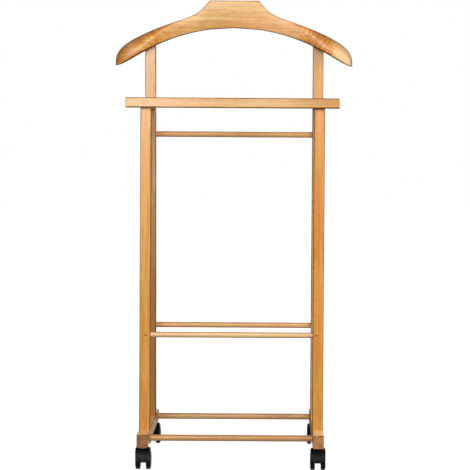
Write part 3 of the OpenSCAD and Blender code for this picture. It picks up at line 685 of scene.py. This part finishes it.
@dataclass(frozen=True)
class BeechFinish:
    """Varnished beech of one piece.  The colours are linear and the lengths are metres.

    Attributes:
        seed: Sets this piece's figure apart from the others'.
        pale: Colour of the early wood.
        deep: Colour of the late wood.
        ring_width: From one growth ring to the next.
        figure: How far the growth rings show.
        streaks: How far the fine lines and fibres show.
        flecks: How far the ray flecks show.
        clouds: How far the tone changes from place to place.
        sides: How far faces turned away from the front are darker, as painted shade.
        depth: Share of the deep colour before the figure is added.
        drift: Rise of that share for each metre along the grain.
        arris: How far the rounded edges take painted shade and lose their varnish by rubbing.
        curl: 1 for a bowed piece, with its figure and painted shade over the bends and painted
            light and shade at its tips, and 0 for a straight one.
        sawn: Tint of the end grain.
        pith: Middle of the piece, across its grain, from the centre of the log.
        roughness: Roughness of the wood.
        coat: Weight of the varnish.
        film: Roughness of the varnish.
        rim: Layer Weight's Facing from which the varnish hardly shines.
        edge_shade: How far broken edges are darkened, as painted edge shade.
        nail: Place of a brad that marks the wood, or None.
    """

    EDGE_RADIUS: ClassVar[float] = 2.1 * MM
    EDGE_SHADE_TINT: ClassVar[Colour] = (0.30, 0.20, 0.13)
    NAIL_STRENGTH: ClassVar[float] = 0.85
    END_ROUGHER: ClassVar[float] = 0.16
    FIBRE_ROUGHER: ClassVar[float] = 0.06
    RELIEF: ClassVar[float] = 0.18
    RELIEF_DEPTH: ClassVar[float] = 0.12 * MM
    RIM_WIDTH: ClassVar[float] = 0.12
    RIM_LOSS: ClassVar[float] = 0.93
    ARRIS_LOSS: ClassVar[float] = 0.9

    seed: float
    pale: Colour = (0.79, 0.37, 0.085)
    deep: Colour = (0.54, 0.205, 0.035)
    ring_width: float = 3.2 * MM
    figure: float = 0.34
    streaks: float = 0.62
    flecks: float = 0.55
    clouds: float = 0.55
    sides: float = 0.6
    depth: float = 0.3
    drift: float = 0.0
    arris: float = 0.8
    curl: float = 0.0
    sawn: Colour = (1.0, 1.0, 1.0)
    pith: tuple[float, float] = (0.02, 0.05)
    roughness: float = 0.46
    coat: float = 0.45
    film: float = 0.20
    rim: float = 0.90
    edge_shade: float = 0.75
    nail: Point | None = None

    def material(
        self, name: str, grain: Grain, lean: float, centre: Vector, effects: Effects
    ) -> bpy.types.Material:
        """Builds the material for one piece.

        Args:
            name: The material's name.
            grain: Which way the grain runs.
            lean: Angle by which the piece tips forward, in degrees.
            centre: Middle of the piece.
            effects: The shared effects.

        Returns:
            The material.
        """
        material, graph, shader = new_material(name)
        source = graph.add("ShaderNodeTexCoord").outputs
        point, normal = self.along_grain(graph, source, grain, lean, centre)
        wood = effects.grain.place(
            graph,
            {
                "Vector": point,
                "Normal": normal,
                "Pale": rgba(self.pale),
                "Deep": rgba(self.deep),
                "Ring Width": self.ring_width,
                "Figure": self.figure,
                "Streaks": self.streaks,
                "Flecks": self.flecks,
                "Clouds": self.clouds,
                "Sides": self.sides,
                "Depth": self.depth,
                "Drift": self.drift,
                "Arris": self.arris,
                "Curl": self.curl,
                "Sawn": rgba(self.sawn),
                "Seed": self.seed,
            },
        )
        edge = effects.edge.place(graph, {"Radius": self.EDGE_RADIUS, "Vector": point})["Mask"]
        # Painted edge shade: broken edges take a darker tint.
        dark = graph.times(edge, self.edge_shade)
        colour = graph.tint(dark, wood["Color"], self.EDGE_SHADE_TINT)
        if self.nail:
            mark = {
                "Vector": source["Object"],
                "Color": colour,
                "Place": self.nail,
                "Strength": self.NAIL_STRENGTH,
            }
            colour = effects.stain.place(graph, mark)["Color"]
        gloss = graph.scale_add(wood["End"], self.END_ROUGHER, self.roughness)
        graph.feed(
            shader,
            {
                "Base Color": colour,
                "Roughness": graph.scale_add(wood["Height"], self.FIBRE_ROUGHER, gloss),
                "Normal": graph.bump(wood["Height"], self.RELIEF, self.RELIEF_DEPTH),
                "Coat Weight": self.varnish(graph, wood["Worn"]),
                "Coat Roughness": self.film,
                "Specular IOR Level": 0.0,
            },
        )
        return material

    def along_grain(
        self, graph: Graph, source: Outputs, grain: Grain, lean: float, centre: Vector
    ) -> tuple[Socket, Socket]:
        """Turns the piece's places and normals so that the grain runs along Z.

        Args:
            graph: The material's graph.
            source: Outputs of its Texture Coordinate node.
            grain: Which way the grain runs.
            lean: Angle by which the piece tips forward, in degrees.
            centre: Middle of the piece.

        Returns:
            The place in the log, and the normal.
        """
        along = Vector(grain.value)
        along.rotate(Euler((math.radians(lean), 0.0, 0.0)))
        turn = along.rotation_difference(Vector((0.0, 0.0, 1.0))).to_matrix()
        angles = turn.to_euler()
        offset = Vector((*self.pith, 0.0)) - turn @ centre
        place = {"Vector": source["Object"], "Rotation": angles, "Location": offset}
        facing = {"Vector": source["Normal"], "Rotation": angles}
        point = graph.add("ShaderNodeMapping", place).outputs[0]
        return point, graph.add("ShaderNodeMapping", facing, vector_type="VECTOR").outputs[0]

    def varnish(self, graph: Graph, worn: Socket) -> Socket:
        """Thins the varnish on rubbed edges, and its shine at a shallow view.

        Args:
            graph: The material's graph.
            worn: Mask of the rubbed edges.

        Returns:
            The weight of the coat.
        """
        shallow = graph.add("ShaderNodeLayerWeight", {"Blend": 0.5}).outputs["Facing"]
        rim = graph.ramp(shallow, self.rim - self.RIM_WIDTH, self.rim)
        film = graph.scale_add(rim, -self.RIM_LOSS * self.coat, self.coat)
        kept = graph.scale_add(worn, -self.ARRIS_LOSS, 1.0)
        return graph.times(film, kept)


@dataclass(frozen=True)
class MouldedPlastic:
    """Black moulded nylon with a fine skin, dulled by dust and lightened by a painted reflection
    band.
    """

    EDGE_RADIUS: ClassVar[float] = 0.8 * MM
    EDGE_DUST: ClassVar[float] = 0.12
    DUST_ROUGHER: ClassVar[float] = 0.9
    RELIEF: ClassVar[float] = 0.5
    RELIEF_DEPTH: ClassVar[float] = 0.08 * MM

    base: Colour = (0.0018, 0.0015, 0.0013)
    # The dust colour also shows the painted reflection band.
    dust: Colour = (0.105, 0.110, 0.122)
    dusty: float = 0.03
    painted_reflection: float = 0.0
    roughness: float = 0.36
    sheen: float = 0.04

    def material(self, name: str, effects: Effects) -> bpy.types.Material:
        """Builds the material.

        Args:
            name: The material's name.
            effects: The shared effects.

        Returns:
            The material.
        """
        material, graph, shader = new_material(name)
        point = graph.add("ShaderNodeTexCoord").outputs["Object"]
        values = {"Vector": point, "Amount": self.dusty, "Painted Reflection": self.painted_reflection}
        skin = effects.dust.place(graph, values)
        edge = effects.edge.place(graph, {"Radius": self.EDGE_RADIUS, "Vector": point})["Mask"]
        dull = graph.math("MULTIPLY_ADD", edge, self.EDGE_DUST, skin["Mask"], clamp=True)
        graph.feed(
            shader,
            {
                "Base Color": graph.mix(dull, rgba(self.base), rgba(self.dust)),
                "Roughness": graph.scale_add(dull, self.DUST_ROUGHER, self.roughness),
                "Normal": graph.bump(skin["Height"], self.RELIEF, self.RELIEF_DEPTH),
                "Specular IOR Level": self.sheen,
            },
        )
        return material


@dataclass(frozen=True)
class PlatedSteel:
    """Plated steel with fine turning marks."""

    BLOOM_ROUGHER: ClassVar[float] = 0.18
    RELIEF: ClassVar[float] = 0.2
    RELIEF_DEPTH: ClassVar[float] = 0.03 * MM

    bright: Colour = (0.62, 0.63, 0.65)
    dull: Colour = (0.40, 0.41, 0.43)
    roughness: float = 0.28

    def material(self, name: str, effects: Effects) -> bpy.types.Material:
        """Builds the material.

        Args:
            name: The material's name.
            effects: The shared effects.

        Returns:
            The material.
        """
        material, graph, shader = new_material(name)
        point = graph.add("ShaderNodeTexCoord").outputs["Object"]
        drawn = effects.drawn.place(graph, {"Vector": point})
        bloom = drawn["Mask"]
        graph.feed(
            shader,
            {
                "Base Color": graph.mix(bloom, rgba(self.bright), rgba(self.dull)),
                "Roughness": graph.scale_add(bloom, self.BLOOM_ROUGHER, self.roughness),
                "Normal": graph.bump(drawn["Height"], self.RELIEF, self.RELIEF_DEPTH),
                "Metallic": 1.0,
            },
        )
        return material


# ---- Pieces --------------------------------------------------------------------------------------


def dress(node: str, material: bpy.types.Material) -> None:
    """Gives a solid its finish.

    Args:
        node: The solid's name.
        material: Its finish.
    """
    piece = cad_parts[node]
    if not piece.material_slots:
        piece.data.materials.append(material)
    for slot in piece.material_slots:
        slot.material = material
    LOG.info("%s dressed in %s", node, material.name)


def middle(node: str) -> Vector:
    """Returns the middle of a solid's box."""
    low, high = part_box(node)
    return (low + high) / 2


def smooth(shape: bmesh.types.BMesh, crease: float) -> None:
    """Turns a mesh's faces outwards and shades them smooth between its sharp edges.

    Args:
        shape: The mesh.
        crease: Angle from which an edge stays sharp, in degrees.
    """
    bmesh.ops.recalc_face_normals(shape, faces=shape.faces)
    for face in shape.faces:
        face.smooth = True
    for edge in shape.edges:
        edge.smooth = edge.calc_face_angle(0.0) < math.radians(crease)


def new_piece(name: str, shape: bmesh.types.BMesh) -> bpy.types.Object:
    """Makes an object of a finished mesh.

    Args:
        name: The piece's name.
        shape: The mesh, which is used up.

    Returns:
        The piece, at the origin.
    """
    mesh = bpy.data.meshes.new(name)
    shape.to_mesh(mesh)
    shape.free()
    piece = bpy.data.objects.new(name, mesh)
    bpy.context.scene.collection.objects.link(piece)
    return piece


BAR_BEECH = BeechFinish(
    21.0, pale=(0.73, 0.42, 0.16), deep=(0.50, 0.215, 0.018), ring_width=2.8 * MM, figure=0.4,
    drift=2.2,
)


@dataclass
class SideFrames:
    """The two side frames: foot beam, front leg, rear post and side arm."""

    effects: Effects
    leg_lean: float = 2.2
    post_lean: float = 1.7
    mark_aside: float = 1.6 * MM
    mark_above: float = 1.2 * MM

    def dress(self) -> None:
        """Finishes the eight pieces, each with its own grain."""
        low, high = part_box("rail_brads")
        height = middle("middle_front_rail").z
        # The left front leg's drift makes it paler at the top and deeper below: painted light of
        # the gloss at the top.
        legs = {
            "left_front_leg": BeechFinish(
                1.0, pale=(0.81, 0.43, 0.135), deep=(0.56, 0.195, 0.014), drift=-0.80,
                pith=(0.05, 0.012), coat=0.40, nail=(low.x - self.mark_aside, low.y, height),
            ),
            "right_front_leg": BeechFinish(
                2.3, pith=(0.045, 0.02),
                nail=(high.x + self.mark_aside, low.y, height + self.mark_above),
            ),
        }
        # The posts' depth and drift make them paler at the top and deeper lower down: painted light
        # above the trouser bar and painted shade under it, most on the left post.
        posts = {
            "left_rear_post": BeechFinish(
                3.9, pale=(0.84, 0.55, 0.28), deep=(0.52, 0.25, 0.070), depth=0.62, drift=-2.4,
                pith=(0.06, 0.01),
            ),
            "right_rear_post": BeechFinish(
                4.4, pale=(0.82, 0.49, 0.21), deep=(0.62, 0.30, 0.10), drift=-0.5,
                pith=(-0.05, 0.02),
            ),
        }
        # The foot beams' pale tones, the right beam's palest, are painted light that stands for
        # their bright, glossy tops.
        beam = BeechFinish(5.2, arris=1.0, coat=1.0, rim=0.96)
        level = {
            "left_foot_beam": replace(
                beam, pale=(0.88, 0.50, 0.165), deep=(0.66, 0.29, 0.066), sides=0.50,
                sawn=(0.75, 0.68, 0.55),
            ),
            "right_foot_beam": replace(
                beam, seed=6.7, pale=(0.97, 0.66, 0.30), deep=(0.86, 0.50, 0.19), sides=0.62,
                sawn=(0.84, 0.69, 0.50),
            ),
            "left_side_arm": BeechFinish(7.1),
            "right_side_arm": BeechFinish(8.6),
        }
        for finishes, grain, lean in (
            (legs, Grain.UP, -self.leg_lean),
            (posts, Grain.UP, self.post_lean),
            (level, Grain.BACK, 0.0),
        ):
            for node, finish in finishes.items():
                name = f"{node}_beech"
                dress(node, finish.material(name, grain, lean, middle(node), self.effects))


@dataclass
class CrossPieces:
    """The five round rails and the flat trouser bar."""

    effects: Effects
    seed_step: float = 1.7

    def dress(self) -> None:
        """Finishes the six pieces, all with the grain across the stand."""
        rail = BeechFinish(
            11.0, pale=(0.85, 0.50, 0.20), deep=(0.64, 0.30, 0.10), figure=0.2, streaks=0.4,
            sides=1.0, arris=0.0,
        )
        # The middle front rail's paler tone is a painted highlight and the foot rails' deeper tones
        # are painted shade; the sides setting paints shade on the rails' tops and undersides.
        tones = {
            "top_rail": (rail.pale, rail.deep),
            "middle_front_rail": ((0.90, 0.60, 0.31), (0.74, 0.42, 0.18)),
            "middle_rear_rail": (rail.pale, rail.deep),
            "foot_front_rail": ((0.70, 0.385, 0.148), (0.53, 0.23, 0.074)),
            "foot_rear_rail": ((0.73, 0.44, 0.18), (0.55, 0.265, 0.092)),
        }
        finishes = {}
        for index, (node, (pale, deep)) in enumerate(tones.items()):
            seed = rail.seed + self.seed_step * index
            finishes[node] = replace(rail, seed=seed, pale=pale, deep=deep)
        finishes["trouser_bar"] = BAR_BEECH
        for node, finish in finishes.items():
            name = f"{node}_beech"
            dress(node, finish.material(name, Grain.ACROSS, 0.0, middle(node), self.effects))


@dataclass
class JacketHanger:
    """The contoured hanger, as a smooth mesh over its solid's own shape."""

    effects: Effects
    weld: float = 0.02 * MM
    crease: float = 32.0

    def build(self) -> bpy.types.Object:
        """Makes the smooth hanger from a welded copy of its solid.

        Returns:
            The new piece.
        """
        shape = bmesh.new()
        shape.from_mesh(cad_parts["hanger"].data)
        bmesh.ops.remove_doubles(shape, verts=shape.verts, dist=self.weld)
        smooth(shape, self.crease)
        return new_piece("jacket_hanger", shape)

    def dress(self, piece: bpy.types.Object) -> None:
        """Finishes the hanger and sets it on the stand.

        Args:
            piece: The hanger.
        """
        # Its sides, arris and curl settings paint shade and light on the hanger.
        finish = BeechFinish(
            31.0, pale=(0.83, 0.49, 0.20), deep=(0.50, 0.185, 0.018), ring_width=5.5 * MM,
            figure=0.5, streaks=0.5, sides=1.0, arris=0.35, curl=1.0, pith=(0.03, -0.075),
            coat=0.8, film=0.34, rim=0.8,
        )
        place = middle("hanger")
        piece.data.materials.append(
            finish.material("jacket_hanger_beech", Grain.ACROSS, 0.0, place, self.effects)
        )
        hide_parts("hanger")
        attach(piece, "stand")
        LOG.info("jacket_hanger built with %d faces", len(piece.data.polygons))


@dataclass
class HangerScrews:
    """The two screws that hold the hanger from behind, with a cross recess in each head.

    The twist turns each cross by the screw's place, in radians for each metre across.
    """

    effects: Effects
    lean: float = 1.7
    head: float = 7.6 * MM
    shank: float = 4.0 * MM
    cone: float = 2.6 * MM
    rim: float = 0.4 * MM
    chamfer: float = 0.15 * MM
    tip: float = 0.2 * MM
    recess: float = 1.5 * MM
    arm: float = 2.2 * MM
    arm_slope: float = 0.9 * MM
    slot: float = 0.62 * MM
    slot_wall: float = 0.25 * MM
    twist: float = 9.0
    rings: int = 24
    steps: int = 96
    weld: float = 0.001 * MM
    skin: float = 0.01 * MM
    crease: float = 30.0

    def build(self) -> bpy.types.Object:
        """Makes both screws where their solids are, each cross at its own angle.

        Returns:
            The new piece.
        """
        low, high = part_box("hanger_screws")
        tilt = math.radians(self.lean)
        back = high.y - self.head / 2 * math.sin(tilt)
        length = (back - low.y - self.tip * math.sin(tilt)) / math.cos(tilt)
        level = Matrix.Rotation(tilt - math.pi / 2, 4, "X")
        shape = bmesh.new()
        for across in (low.x + self.head / 2, high.x - self.head / 2):
            screw = self.turned(length)
            place = Matrix.Translation((across, back, (low.z + high.z) / 2))
            screw.transform(place @ level @ Matrix.Rotation(across * self.twist, 4, "Z"))
            half = bpy.data.meshes.new("screw")
            screw.to_mesh(half)
            screw.free()
            shape.from_mesh(half)
            bpy.data.meshes.remove(half)
        smooth(shape, self.crease)
        return new_piece("hanger_screw_pair", shape)

    def turned(self, length: float) -> bmesh.types.BMesh:
        """Turns one screw along Z, its head's face at the origin, and sinks the cross into it.

        Args:
            length: From the head's face to the tip.

        Returns:
            The screw's mesh.
        """
        shape = bmesh.new()
        radius = self.head / 2
        face = [(radius * share / self.rings, 0.0) for share in range(self.rings)]
        outline = face + [
            (radius - self.chamfer, 0.0),
            (radius, -self.chamfer),
            (radius, -self.rim),
            (self.shank / 2, -self.cone),
            (self.shank / 2, -length + 2 * self.shank),
            (self.tip, -length),
            (0.0, -length),
        ]
        points = [shape.verts.new((across, 0.0, up)) for across, up in outline]
        edges = [shape.edges.new(pair) for pair in zip(points, points[1:])]
        bmesh.ops.spin(
            shape,
            geom=points + edges,
            axis=(0.0, 0.0, 1.0),
            cent=(0.0, 0.0, 0.0),
            steps=self.steps,
            angle=math.tau,
            use_merge=True,
        )
        bmesh.ops.remove_doubles(shape, verts=shape.verts, dist=self.weld)
        for point in shape.verts:
            if point.co.z > -self.skin:
                point.co.z -= self.depth(abs(point.co.x), abs(point.co.y))
        return shape

    def depth(self, across: float, up: float) -> float:
        """Works out how deep the cross recess is at a place on the head's face.

        Args:
            across: Distance from the upright arm's middle.
            up: Distance from the level arm's middle.

        Returns:
            The depth.
        """
        near, far = sorted((across, up))
        side = min(max((self.slot - near) / self.slot_wall + 0.5, 0.0), 1.0)
        end = min(max((self.arm - far) / self.arm_slope, 0.0), 1.0)
        return self.recess * side * end

    def dress(self, piece: bpy.types.Object) -> None:
        """Finishes the screws and sets them on the stand.

        Args:
            piece: The two screws.
        """
        steel = PlatedSteel(roughness=0.30)
        piece.data.materials.append(steel.material("screw_steel", self.effects))
        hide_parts("hanger_screws")
        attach(piece, "stand")
        LOG.info("hanger_screw_pair built with %d faces", len(piece.data.polygons))


@dataclass
class Fixings:
    """Dowels, plugs, screws and brads."""

    effects: Effects

    def dress(self) -> None:
        """Finishes the wooden and the steel fixings."""
        dowel = BeechFinish(
            41.0, pale=(0.62, 0.33, 0.12), deep=(0.42, 0.17, 0.05), roughness=0.55, coat=0.05
        )
        plain = dowel.material("dowel_beech", Grain.BACK, 0.0, Vector(), self.effects)
        for node in ("hanger_dowels", "foot_dowels", "arm_dowels"):
            dress(node, plain)
        plug = replace(BAR_BEECH, seed=47.0, arris=0.1, edge_shade=0.3)
        place = middle("bar_plugs")
        dress("bar_plugs", plug.material("plug_beech", Grain.ACROSS, 0.0, place, self.effects))
        dress("bar_screws", PlatedSteel().material("plated_steel", self.effects))
        brown = PlatedSteel((0.10, 0.065, 0.04), (0.045, 0.028, 0.016), 0.5)
        dress("rail_brads", brown.material("browned_steel", self.effects))


@dataclass
class Castors:
    """The four twin-wheel castors."""

    # How strong each hood's painted reflection band is, the front ones the most.
    PAINTED_REFLECTION: ClassVar[dict[str, float]] = {
        "front_left": 0.46,
        "front_right": 0.26,
        "rear_left": 0.04,
        "rear_right": 0.04,
    }

    effects: Effects

    def dress(self) -> None:
        """Finishes the sleeves, stems, axles, hoods and wheels."""
        steel = PlatedSteel(roughness=0.24).material("castor_steel", self.effects)
        yellow = PlatedSteel((0.36, 0.26, 0.16), (0.22, 0.15, 0.09), 0.45)
        sleeve = yellow.material("sleeve_steel", self.effects)
        nylon = MouldedPlastic(roughness=0.46, sheen=0.06)
        wheel = nylon.material("wheel_nylon", self.effects)
        for corner, painted_reflection in self.PAINTED_REFLECTION.items():
            castor = f"{corner}_castor"
            hood = MouldedPlastic(painted_reflection=painted_reflection).material(f"{castor}_nylon", self.effects)
            for part, material in (
                ("socket", sleeve),
                ("stem", sleeve),
                ("axle", steel),
                ("hood", hood),
                ("outer_wheel", wheel),
                ("inner_wheel", wheel),
            ):
                dress(f"{castor}_{part}", material)


# ---- Studio --------------------------------------------------------------------------------------


@dataclass(frozen=True)
class Softbox:
    """A flat white lamp that points at a place on the stand."""

    name: str
    place: Point
    aim: Point
    width: float
    height: float
    power: float

    def rig(self) -> None:
        """Sets the lamp up."""
        lamp = bpy.data.lights.new(self.name, "AREA")
        lamp.shape = "RECTANGLE"
        lamp.size = self.width
        lamp.size_y = self.height
        lamp.energy = self.power
        holder = bpy.data.objects.new(self.name, lamp)
        holder.location = self.place
        ahead = Vector(self.aim) - Vector(self.place)
        holder.rotation_euler = ahead.to_track_quat("-Z", "Y").to_euler()
        bpy.context.scene.collection.objects.link(holder)


@dataclass
class Studio:
    """Pale floor, white surround, soft lamps and the camera.

    Attributes:
        focal: Focal length, in pixels of the photograph.
        image: Width of the photograph, in pixels.
        sensor: Width of the camera's sensor, in millimetres.
        eye: Place of the camera.
        yaw: Turn of the camera to the left, in radians.
        pitch: Tilt of the camera downwards, in radians.
        roll: Roll of the camera, in radians.
        shift: Sideways shift of the lens, in pixels of the photograph.
        sight: How far the camera sees, in metres.
        ambient: Light of the surround on the stand.
        floor_size: Half the floor's width, in metres.
        floor_glow: How bright the floor shows by the stand.
        floor_fade: Distances over which it comes up to white.
        floor_shade: Grey of the floor in the lamps' light.
    """

    focal: float = 1600.0
    image: float = 470.0
    sensor: float = 36.0
    eye: Point = (0.0797, -3.4938, 0.6866)
    yaw: float = -0.0034
    pitch: float = 0.05629
    roll: float = 0.00627
    shift: float = 40.0
    sight: float = 60.0
    ambient: float = 0.12
    floor_size: float = 14.0
    floor_glow: float = 0.90
    floor_fade: Span = (0.5, 1.6)
    floor_shade: float = 0.26

    def camera(self) -> None:
        """Sets the camera where the photograph was taken from."""
        forward = math.cos(self.pitch)
        right = Vector((math.cos(self.yaw), math.sin(self.yaw), 0.0))
        ahead = Vector(
            (-math.sin(self.yaw) * forward, math.cos(self.yaw) * forward, -math.sin(self.pitch))
        )
        level = Matrix((right, right.cross(ahead), -ahead)).transposed()
        turn = level @ Matrix.Rotation(self.roll, 3, "Z")
        lens = bpy.data.cameras.new("camera")
        lens.sensor_width = self.sensor
        lens.lens = self.focal * self.sensor / self.image
        lens.shift_x = -self.shift / self.image
        lens.clip_end = self.sight
        camera = bpy.data.objects.new("camera", lens)
        camera.matrix_world = Matrix.Translation(self.eye) @ turn.to_4x4()
        bpy.context.scene.collection.objects.link(camera)
        bpy.context.scene.camera = camera

    def surround(self) -> None:
        """Makes the white surround, which lights the stand less than it shows."""
        world = bpy.data.worlds.new("surround")
        bpy.context.scene.world = world
        graph = fresh_graph(world)
        strength = graph.scale_add(graph.seen(), 1.0 - self.ambient, self.ambient)
        white = {"Color": (1.0, 1.0, 1.0, 1.0), "Strength": strength}
        back = graph.add("ShaderNodeBackground", white)
        graph.add("ShaderNodeOutputWorld", {"Surface": back.outputs[0]})

    def floor(self) -> None:
        """Lays the pale floor, which keeps the stand's shadow."""
        shape = bmesh.new()
        bmesh.ops.create_grid(shape, x_segments=1, y_segments=1, size=self.floor_size)
        floor = new_piece("floor", shape)
        material = bpy.data.materials.new("pale_floor")
        graph = fresh_graph(material)
        place = graph.add("ShaderNodeTexCoord").outputs["Object"]
        far = graph.ramp(graph.length(place), *self.floor_fade)
        glow = graph.scale_add(far, 1.0 - self.floor_glow, self.floor_glow)
        shown = graph.times(glow, graph.seen())
        grey = rgba((self.floor_shade, self.floor_shade, self.floor_shade))
        shade = graph.add("ShaderNodeBsdfDiffuse", {"Color": grey})
        light = graph.add("ShaderNodeEmission", {"Strength": shown})
        both = graph.add("ShaderNodeAddShader", {0: shade.outputs[0], 1: light.outputs[0]})
        graph.add("ShaderNodeOutputMaterial", {"Surface": both.outputs[0]})
        floor.data.materials.append(material)

    def lamps(self) -> None:
        """Sets the soft lamps."""
        for softbox in (
            Softbox("front_lamp", (-0.08, -2.62, 1.50), (0.0, 0.0, 0.62), 1.15, 1.10, 41.5),
            Softbox("window_lamp", (-0.47, -2.50, 1.12), (-0.05, 0.0, 0.80), 0.44, 0.50, 6.5),
            Softbox("side_lamp", (2.00, -1.60, 1.30), (0.0, 0.0, 0.60), 0.90, 0.90, 22.0),
            Softbox("top_lamp", (0.45, -0.60, 3.20), (0.0, 0.0, 0.30), 1.20, 1.20, 16.0),
            Softbox("rear_lamp", (0.30, 2.80, 1.45), (0.0, 0.0, 0.55), 1.30, 1.30, 30.0),
        ):
            softbox.rig()


def main() -> None:
    """Builds and dresses the stand, piece by piece, and sets the studio round it."""
    logging.basicConfig(level=logging.INFO, format="%(name)s: %(message)s")
    effects = Effects()
    SideFrames(effects).dress()
    CrossPieces(effects).dress()
    hanger = JacketHanger(effects)
    hanger.dress(hanger.build())
    screws = HangerScrews(effects)
    screws.dress(screws.build())
    Fixings(effects).dress()
    Castors(effects).dress()
    bpy.context.scene.view_settings.view_transform = "Standard"
    studio = Studio()
    studio.camera()
    studio.surround()
    studio.floor()
    studio.lamps()


if __name__ == "__main__":
    main()
